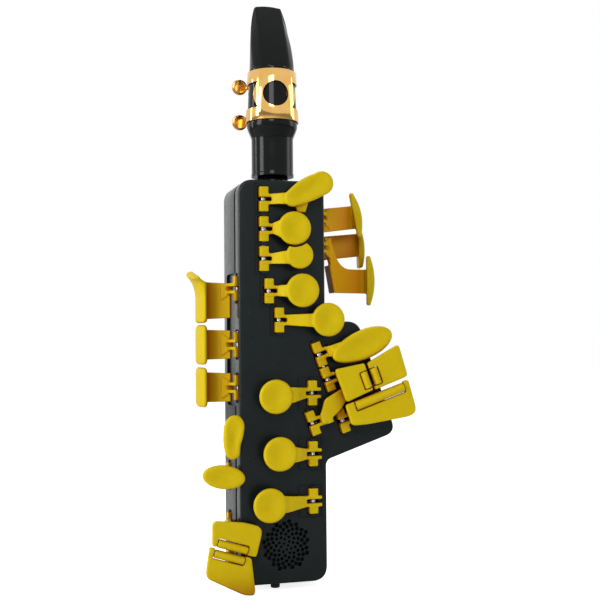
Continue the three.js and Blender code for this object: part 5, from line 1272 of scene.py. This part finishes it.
# Sunk panel on the left side
panel_low = PANEL_LOW_SHARE * TALL
panel_high = PANEL_HIGH_SHARE * TALL
panel_back = PANEL_BACK_SHARE * DEEP
panel_front = SEAM - REACH
panel = rounded(
    [(panel_front, panel_low), (panel_back, panel_low), (panel_back, panel_high), (panel_front, panel_high)],
    [0, PANEL_CORNER, PANEL_CORNER, 0],
)
panel_cut = ringed([[(x, y, z) for y, z in panel] for x in (LEFT - REACH, LEFT + PANEL_DEEP)])
back_steps.append((CUT, panel_cut))

front_body = plate(FRONT_OUTLINE, FRONT, SEAM - FRONT - REBATE_LONG, EDGE, SEAM_RIM)
back_body = plate(rounded(CORNERS, CORNER, OUTLINE_STEPS), SEAM + GAP, BACK - SEAM - GAP, BACK_RIM, EDGE)
for name, body, steps in (("front_shell", front_body, front_steps), ("back_shell", back_body, back_steps)):
    put(name, [shaped(body, steps)], 35, CHARCOAL, "housing", name)

# Mouthpiece
SHANK_LOW = 212.3
SHANK_TOP = 232.6
BODY_LOW = 239
BEAK_LOW = 270
TIP = 308
BEAK_LONG = TIP - BEAK_LOW
LIP_TALL = 1.4
LIP_END = 0.7
LIP_TOP = SHANK_LOW + LIP_TALL
BODY_LIP = BODY_LOW + LIP_TALL
SHANK_RADIUS = 11.2
SHANK_LIP = 11.4
SHANK_SWELL = 0.25
BODY_RADIUS = 13.5
BODY_SHY = 0.35
BEAK_RADIUS = 12.2
TIP_RADIUS = 11.3
TABLE_BACK = 10.2
TIP_BACK = 9.4
TIP_THICK = 1.2
SLOPE_SAG = 2
SHANK_BEVEL = 0.12
SWELL_UP = 0.9
BODY_STEP = 0.2
BORE = 8.3
BORE_TOP = BODY_LOW + 5
THROAT = 5.5
THROAT_TOP = BEAK_LOW + 2
CHAMBER_LOW = BEAK_LOW - 2
CHAMBER_TOP = TIP - 8
CHAMBER_HALF = 5
CHAMBER_FRONT = -2.75
BEAK_SHARES = [(1, 0), (0.95, 0.4), (0.86, 0.7), (0.78, 0.92)]
BEAK_CORNER_SHARE = 0.72
FACET_BACK = 9.8
FACET_HALF = 7.3
FACET_SIDE = 5
LEDGE_TALL = 0.6
FAR = 40
TINY = 0.01


def along(pairs, z):
    """The value at a height, between pairs of height and value."""
    if z <= pairs[0][0]:
        return pairs[0][1]
    for (z0, v0), (z1, v1) in zip(pairs, pairs[1:]):
        if z <= z1:
            return v0 + (v1 - v0) * (z - z0) / (z1 - z0)
    return pairs[-1][1]


ROUND_BODY = [
    (SHANK_LOW, SHANK_LIP), (LIP_TOP, SHANK_LIP), (LIP_TOP + LIP_END, SHANK_RADIUS),
    (SHANK_TOP, SHANK_RADIUS), (SHANK_TOP + SWELL_UP, SHANK_RADIUS + SHANK_SWELL),
    (BODY_LOW - LIP_TALL, BODY_RADIUS - BODY_SHY), (BODY_LOW, BODY_RADIUS),
    (BODY_LIP, BODY_RADIUS), (BEAK_LOW, BEAK_RADIUS), (TIP, TIP_RADIUS),
]


def front_limits():
    """Half widths of the beak by height."""
    out = [(BEAK_LOW - TINY, FAR)]
    out += [(BEAK_LOW + up * BEAK_LONG, wide * BEAK_RADIUS) for wide, up in BEAK_SHARES]
    curve = quad(out[-1][::-1], (BEAK_CORNER_SHARE * BEAK_RADIUS, TIP), (0, TIP), 24)
    return out + [(z, x) for x, z in curve[:-1]]


def slope_limits():
    """The front of the beak's slope by height."""
    start = (-FACET_BACK, BEAK_LOW + LEDGE_TALL)
    bend = (-FACET_BACK / 2 + SLOPE_SAG, (BEAK_LOW + TIP) / 2)
    curve = [start] + quad(start, bend, (TIP_BACK - TIP_THICK, TIP), 24)
    return [(BEAK_LOW, -BEAK_RADIUS - 1)] + [(z, y) for y, z in curve]


WIDTHS = front_limits()
SLOPE = slope_limits()
TABLE = [
    (BODY_LIP, FAR), (BODY_LIP + BODY_STEP, TABLE_BACK),
    (CHAMBER_LOW, TABLE_BACK), (TIP, TIP_BACK),
]


def mouth_ring(z, sides=160, sharp=24):
    """The section of the mouthpiece at a height: a circle cut by the sides, the slope and the table."""
    radius = along(ROUND_BODY, z)
    half = along(WIDTHS, z)
    slope = along(SLOPE, z)
    table = along(TABLE, z)
    middle = (max(slope, -radius) + min(table, radius)) / 2
    ring = []
    for k in range(sides):
        dx = math.cos(TURN * k / sides)
        dy = math.sin(TURN * k / sides)
        reach = -middle * dy + math.sqrt(max(radius * radius - middle * middle * dx * dx, TINY))
        parts = [1 / reach]
        if half < FAR:
            parts.append(abs(dx) / half)
        if dy < 0 and z >= BEAK_LOW:
            deep = max(middle - slope, 5 * TINY)
            parts.append(-dy / deep)
            away = math.hypot(FACET_SIDE, half - FACET_HALF)
            across, down = FACET_SIDE / away, (half - FACET_HALF) / away
            parts.append((abs(dx) * across - dy * down) / (FACET_HALF * across + deep * down))
        if dy > 0 and table < FAR:
            parts.append(dy / max(table - middle, 5 * TINY))
        away = sum(p ** sharp for p in parts) ** (-1 / sharp)
        ring.append((away * dx, middle + away * dy, z))
    return ring


def levels(low, high, count, first=0):
    return [low + (high - low) * k / count for k in range(first, count + 1)]


heights = [SHANK_LOW, SHANK_LOW + SHANK_BEVEL] + levels(LIP_TOP, LIP_TOP + LIP_END, 2)
heights += levels(SHANK_LOW + 2.4, SHANK_TOP, 6) + levels(SHANK_TOP, BODY_LOW, 10, 1)
heights += [BODY_LIP, BODY_LIP + BODY_STEP + TINY] + levels(BODY_LOW + 2, BEAK_LOW - 6, 6)
heights += [BEAK_LOW - 5.5, BEAK_LOW - 3, BEAK_LOW - 2 * TINY] + levels(BEAK_LOW, BEAK_LOW + LEDGE_TALL, 2)
heights += levels(BEAK_LOW, TIP, 48, 1)[:-3]
heights += [TIP - BEAK_LONG * (3 / 48) * (1 - k / 14) ** 1.6 for k in range(1, 14)]
bores = [
    turned([
        (0, SHANK_LOW - REACH), (BORE, SHANK_LOW - REACH), (BORE, BORE_TOP), (THROAT, BORE_TOP),
        (THROAT, THROAT_TOP), (0, THROAT_TOP),
    ]),
    ringed([
        [
            (x, CHAMBER_FRONT, CHAMBER_LOW), (x, TABLE_BACK + REACH, CHAMBER_LOW),
            (x, TABLE_BACK + REACH, CHAMBER_TOP), (x, TIP_BACK - TIP_THICK, CHAMBER_TOP),
        ] for x in (-CHAMBER_HALF, CHAMBER_HALF)
    ]),
]
blank = ringed([mouth_ring(z) for z in sorted(set(heights))])
mouth = shaped(blank, [(CUT, bore) for bore in bores])
put("mouthpiece", [mouth], 40, EBONY, "mouthpiece", "mouthpiece")

# Reed
REED_LOW = BODY_LOW + 2.4
REED_TOP = TIP - 0.6
REED_HALF = 6.5
REED_ROUND = 13.5
REED_INNER = TABLE_BACK + GAP
REED_THIN = 0.3
REED_SHARE = 0.97
REED_CROWN = 0.25
REED_SIDE = [
    (REED_LOW, 13.0), (BEAK_LOW + 3, 12.3), (BEAK_LOW + 4, 11.9), (BEAK_LOW + 24, 11.2),
    (TIP - 1.2, REED_INNER + 0.55),
]


def reed_ring(z):
    """The section of the reed at a height: a flat side with a crowned back."""
    half = min(REED_HALF, along(WIDTHS, z) * REED_SHARE)
    root = math.sqrt(REED_ROUND ** 2 - half * half)
    ring = [(-half, REED_INNER, z), (half, REED_INNER, z)]
    for m in range(13):
        x = half * (1 - m / 6)
        bulge = (math.sqrt(max(REED_ROUND ** 2 - x * x, 1)) - root) / (REED_ROUND - root)
        rise = (along(REED_SIDE, z) - REED_INNER) * (1 - REED_CROWN + REED_CROWN * bulge)
        ring.append((x, REED_INNER + max(rise, REED_THIN), z))
    return ring


put("reed", [ringed([reed_ring(z) for z in levels(REED_LOW, REED_TOP, 59)])], 40, CANE, "reed", "reed")

# Ligature and screws
LIG_LOW = 241.6
LIG_TOP = 268.6
LIG_MID = (LIG_LOW + LIG_TOP) / 2
LIG_THICK = 0.6
LIG_TURN = -0.087
LIG_BAND = 6.6
LIG_HOLE = 6.8
LIG_RING = 11.3
LIG_BACK = 9
LIG_EDGE = (0.1, 0.15)
LUG_SLIT = 1.4
LUG_THICK = 2.4
LUG_TALL = 6
LUG_OUT = 19
LUG_OVERLAP = 0.2
SCREW_Y = 16.6
SCREW_RADIUS = 1.2
SCREW_HOLE = 1.5
SCREW_ENDS = (-10.6, 6.4)
SCREW_HOLE_END = 8.8
SCREW_HOLE_ROUND = 0.05
SCREWS = {"screw_upper": LIG_TOP - 4.2, "screw_lower": LIG_LOW + 3.2}
HEAD_RADIUS = 4.3
HEAD_HALF = 0.9
HEAD_X = -14.2
HEAD_ROUND = 0.3
HEAD_SHY = 0.05
HEAD_RIM = HEAD_RADIUS - 0.9
HEAD_CORE = HEAD_RADIUS - 1.3
HEAD_DISH = HEAD_HALF - 0.3


def body_radius(z):
    return BODY_RADIUS + (BEAK_RADIUS - BODY_RADIUS) * (z - BODY_LIP) / (BEAK_LOW - BODY_LIP)


def band(low, high, inner, outer):
    """An upright ring with broken edges, at two distances from the mouthpiece."""
    shy, up = LIG_EDGE
    profile = [
        (low, inner), (low, outer - shy), (low + up, outer),
        (high - up, outer), (high, outer - shy), (high, inner),
    ]
    return looped([circle(body_radius(z) + extra, z, 144) for z, extra in profile])


lig_steps = []
turn = Matrix.Rotation(LIG_TURN, 4, "Z")
across = Matrix.Rotation(QUARTER, 4, "Y")
for side in (1, -1):
    near, far = beside(side, LUG_SLIT / 2, LUG_SLIT / 2 + LUG_THICK)
    for low, high in ((LIG_LOW, LIG_LOW + LUG_TALL), (LIG_TOP - LUG_TALL, LIG_TOP)):
        start = body_radius((low + high) / 2) + GAP + LIG_THICK / 2
        lig_steps.append((JOIN, box((near, start - LUG_OVERLAP, low), (far, LUG_OUT, high))))
for side in (1, -1):
    near, far = beside(side, 0, 2 * BODY_RADIUS)
    window = box((near, -2 * BODY_RADIUS, LIG_LOW + LIG_BAND), (far, LIG_BACK, LIG_TOP - LIG_BAND))
    keep = prism(ellipse((0, LIG_MID), (LIG_RING, LIG_RING), 0, 96), -3 * BODY_RADIUS, 0)
    lig_steps.append((CUT, moved(shaped(window, [(CUT, keep)]), turn)))
hole = prism(ellipse((0, LIG_MID), (LIG_HOLE, LIG_HOLE), 0, 96), -2 * BODY_RADIUS, 0)
lig_steps.append((CUT, moved(hole, turn)))
lig_steps.append((CUT, box((-LUG_SLIT / 2, 0, 0), (LUG_SLIT / 2, 2 * LUG_OUT, 2 * TIP))))
for z in SCREWS.values():
    place = Matrix.Translation((0, SCREW_Y, z)) @ across
    bore = bar(SCREW_HOLE, SCREW_ENDS[0], SCREW_HOLE_END, 20, SCREW_HOLE_ROUND)
    lig_steps.append((CUT, moved(bore, place)))
ligature = shaped(band(LIG_LOW, LIG_TOP, GAP, GAP + LIG_THICK), lig_steps)
put("ligature", [ligature], 35, GOLD, "gold", "ligature")

for name, z in SCREWS.items():
    place = Matrix.Translation((0, SCREW_Y, z))
    profile = [(0, -HEAD_DISH), (HEAD_CORE, -HEAD_DISH), (HEAD_RIM, -HEAD_HALF)]
    for angle in levels(-QUARTER, QUARTER, 6):
        reach = HEAD_RADIUS - HEAD_ROUND + HEAD_ROUND * math.cos(angle)
        profile.append((reach, (HEAD_HALF - HEAD_SHY) * math.sin(angle)))
    profile += [(HEAD_RIM, HEAD_HALF), (HEAD_CORE, HEAD_DISH), (0, HEAD_DISH)]
    upright = Matrix.Translation((HEAD_X, 0, 0)) @ Matrix.Rotation(QUARTER, 4, "X")
    shaft = moved(bar(SCREW_RADIUS, *SCREW_ENDS, 24), place @ across)
    head = moved(turned(profile, 64), place @ upright)
    put(name, [shaft, head], 35, BRASS, "gold", "ligature_" + name, body=name)

# Neck
NECK_LOW = 200
FLANGE_LOW = 203.5
FLANGE_TOP = 205.5
NECK_TOP = 212
TENON_TOP = 240
NECK_ROOT = 7.3
FLANGE = 11
TENON = 6.9
NECK_BORE = 4
NECK_BEVEL = (0.3, 0.4)
neck = turned([
    (0, NECK_LOW), (NECK_ROOT, NECK_LOW), (NECK_ROOT, FLANGE_LOW), (FLANGE, FLANGE_LOW), (FLANGE, FLANGE_TOP),
    (MOUTH_NECK, FLANGE_TOP), (MOUTH_NECK, NECK_TOP - NECK_BEVEL[1]), (MOUTH_NECK - NECK_BEVEL[0], NECK_TOP),
    (TENON, NECK_TOP), (TENON, TENON_TOP), (0, TENON_TOP),
], 96)
neck_bore = turned(cylinder(NECK_BORE, NECK_LOW - REACH, TENON_TOP + REACH), 48)
put("neck", [shaped(neck, [(CUT, neck_bore)])], 40, EBONY, "mouthpiece", "neck")

# Power button
BUTTON = [(0, -2.9), (1.9, -2.9), (2.25, -2.75), (2.4, -2.4), (2.4, 2.5), (3.6, 2.5), (3.6, 3.7), (0, 3.7)]
button = moved(turned(BUTTON), Matrix.Translation((*BUTTON_AT, 0)))
put("button", [button], 40, TRIM, "trim", "power_button", body="button")

# Back: thumb rest, thumb hook and strap ring
BACK_FACE = BACK + GAP
REST = [(0, 0), (8, 0), (8, 1.8), (7.8, 2.4), (7.3, 2.85), (6.8, 3), (5.5, 2.8), (0, 2.5)]
REST_UP = 158
HOOK = [(0, -11), (3, -11), (3, 0), (21, 0), (21, -10), (24, -10), (24, 3), (3, 3), (3, 11), (0, 11)]
HOOK_ROUNDS = [0, 1, 2.5, 2.5, 1, 1, 4, 2.5, 1, 0]
HOOK_UP = 76
HOOK_SIDES = [(-8, 0.7), (-7.8, 0.35), (-7.3, 0), (7.3, 0), (7.8, 0.35), (8, 0.7)]
LOOP_RADIUS = 6.5
LOOP_WIRE = 1.4
LOOP_BASE = 2.4
LOOP_BASE_HALF = (6, 8)
LOOP_CORNER = 1.5
LOOP_RIMS = (0.2, 0.5)
SQUARE = [(-1, -1), (1, -1), (1, 1), (-1, 1)]
place = Matrix.Translation((0, BACK_FACE, REST_UP)) @ Matrix.Rotation(-QUARTER, 4, "X")
put("thumb_rest", [moved(turned(REST, 72), place)], 40, TRIM, "trim", "thumb_rest")
hook = [(BACK_FACE + y, HOOK_UP + z) for y, z in rounded(HOOK, HOOK_ROUNDS)]
hook_rings = [[(x, y, z) for y, z in inset(hook, shrink)] for x, shrink in HOOK_SIDES]
put("thumb_hook", [ringed(hook_rings)], 35, TRIM, "trim", "thumb_hook")
ring_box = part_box("strap_ring")
ring_mid = (ring_box[0].z + ring_box[1].z) / 2 / MM
loop = []
for i in range(64):
    a = TURN * i / 64
    section = []
    for j in range(20):
        b = TURN * j / 20
        r = LOOP_RADIUS + LOOP_WIRE * math.cos(b)
        y = BACK_FACE + LOOP_BASE + LOOP_RADIUS + r * math.cos(a)
        section.append((LOOP_WIRE * math.sin(b), y, ring_mid + r * math.sin(a)))
    loop.append(section)
base_corners = [(x * LOOP_BASE_HALF[0], ring_mid + z * LOOP_BASE_HALF[1]) for x, z in SQUARE]
base = plate(rounded(base_corners, LOOP_CORNER), BACK_FACE, LOOP_BASE, *LOOP_RIMS)
put("strap_ring", [looped(loop), base], 40, STEEL, "steel", "strap_ring")

# Inside pieces keep their solids
for node, made in (("circuit_board", BOARD), ("battery", CELL), ("speaker", CONE), ("neck_cork", CORK)):
    kept = frame["nodes"][node].data
    kept.materials.clear()
    kept.materials.append(made)

# Floor, light and camera
WHITE = (1, 1, 1, 1)
AIR_LEVEL = 0.3
FLOOR_GLOW = 0.8
FLOOR_HALF = 3
FLOOR_DROP = 0.0005
FOCAL_PIXELS = 1024
PICTURE_WIDE = 600
SENSOR_WIDE = 36
CLIP_START = 0.01
CAMERA_AT = (-135.155, -532.158, 126.024)
CAMERA_TURNS = (15.737, 2.104, -0.489)
MIDDLE = (0, 0, 0.14)
LIGHTS = [
    ("left_light", (-1.05, -0.28, 0.43), MIDDLE, (0.4, 0.6), 7),
    ("right_light", (1.05, -0.1, 0.43), MIDDLE, (0.4, 0.6), 2),
    ("front_light", (-0.3, -1, 0.7), MIDDLE, (0.4, 0.4), 4.4),
    ("top_light", (0.15, 0.4, 1.05), MIDDLE, (0.5, 0.5), 4.5),
    ("strip_light", (-0.8, 0.4, 0.35), (0, 0, 0.29), (0.07, 0.5), 1.2),
]


def light_world():
    """A dim white studio that the camera, metal and glass see as plain white."""
    world = bpy.data.worlds.new("studio")
    bpy.context.scene.world = world
    world.use_nodes = True
    tree = world.node_tree
    ground = wire(tree, tree.nodes["Background"], {"Color": WHITE, "Strength": AIR_LEVEL}, {})
    shown = add_node(tree, "Background", {"Color": WHITE, "Strength": 1}, {})
    path = add_node(tree, "LightPath", {}, {}).outputs
    seen = path["Is Camera Ray"]
    for kind in ("Is Glossy Ray", "Is Transmission Ray"):
        either = tree.nodes.new("ShaderNodeMath")
        either.operation = "MAXIMUM"
        seen = wire(tree, either, {}, {0: seen, 1: path[kind]}).outputs["Value"]
    feeds = {"Fac": seen, 1: ground.outputs["Background"], 2: shown.outputs["Background"]}
    mix = add_node(tree, "MixShader", {}, feeds)
    tree.links.new(mix.outputs["Shader"], tree.nodes["World Output"].inputs["Surface"])


def add_floor():
    """A pale floor that the camera sees as white, apart from the object's shadow."""
    height = CAD_BOX[0][2] - FLOOR_DROP
    mesh = bpy.data.meshes.new("floor")
    mesh.from_pydata([(x * FLOOR_HALF, y * FLOOR_HALF, height) for x, y in SQUARE], [], [(0, 1, 2, 3)])
    floor = bpy.data.objects.new("floor", mesh)
    bpy.context.scene.collection.objects.link(floor)
    pale = material("floor", (0.8, 0.8, 0.8), (0.82, 0.82, 0.82), (0.8, 0.9), 2)
    tree = pale.node_tree
    matt = tree.nodes["Principled BSDF"].outputs["BSDF"]
    glow = add_node(tree, "Emission", {"Color": WHITE, "Strength": FLOOR_GLOW}, {})
    both = add_node(tree, "AddShader", {}, {0: matt, 1: glow.outputs["Emission"]})
    seen = add_node(tree, "LightPath", {}, {}).outputs["Is Camera Ray"]
    mix = add_node(tree, "MixShader", {}, {"Fac": seen, 1: matt, 2: both.outputs["Shader"]})
    tree.links.new(mix.outputs["Shader"], tree.nodes["Material Output"].inputs["Surface"])
    mesh.materials.append(pale)


def add_light(name, at, look, size, power):
    lamp = bpy.data.lights.new(name, "AREA")
    lamp.shape = "RECTANGLE"
    lamp.size, lamp.size_y = size
    lamp.energy = power
    thing = bpy.data.objects.new(name, lamp)
    thing.location = at
    thing.rotation_euler = (Vector(look) - Vector(at)).to_track_quat("-Z", "Y").to_euler()
    bpy.context.scene.collection.objects.link(thing)


def add_camera():
    """The camera at the photograph's place."""
    lens = bpy.data.cameras.new("camera")
    lens.sensor_width = SENSOR_WIDE
    lens.lens = FOCAL_PIXELS / PICTURE_WIDE * SENSOR_WIDE
    lens.clip_start = CLIP_START
    thing = bpy.data.objects.new("camera", lens)
    bpy.context.scene.collection.objects.link(thing)
    yaw, pitch, roll = (math.radians(a) for a in CAMERA_TURNS)
    ahead = Vector((math.sin(yaw) * math.cos(pitch), math.cos(yaw) * math.cos(pitch), math.sin(pitch)))
    side = Vector((math.cos(yaw), -math.sin(yaw), 0))
    above = side.cross(ahead)
    right = math.cos(roll) * side + math.sin(roll) * above
    up = -math.sin(roll) * side + math.cos(roll) * above
    basis = Matrix((right, up, -ahead)).transposed().to_4x4()
    thing.matrix_world = Matrix.Translation(Vector(CAMERA_AT) * MM) @ basis
    bpy.context.scene.camera = thing


light_world()
add_floor()
for light in LIGHTS:
    add_light(*light)
add_camera()
bpy.context.scene.view_settings.view_transform = "Standard"
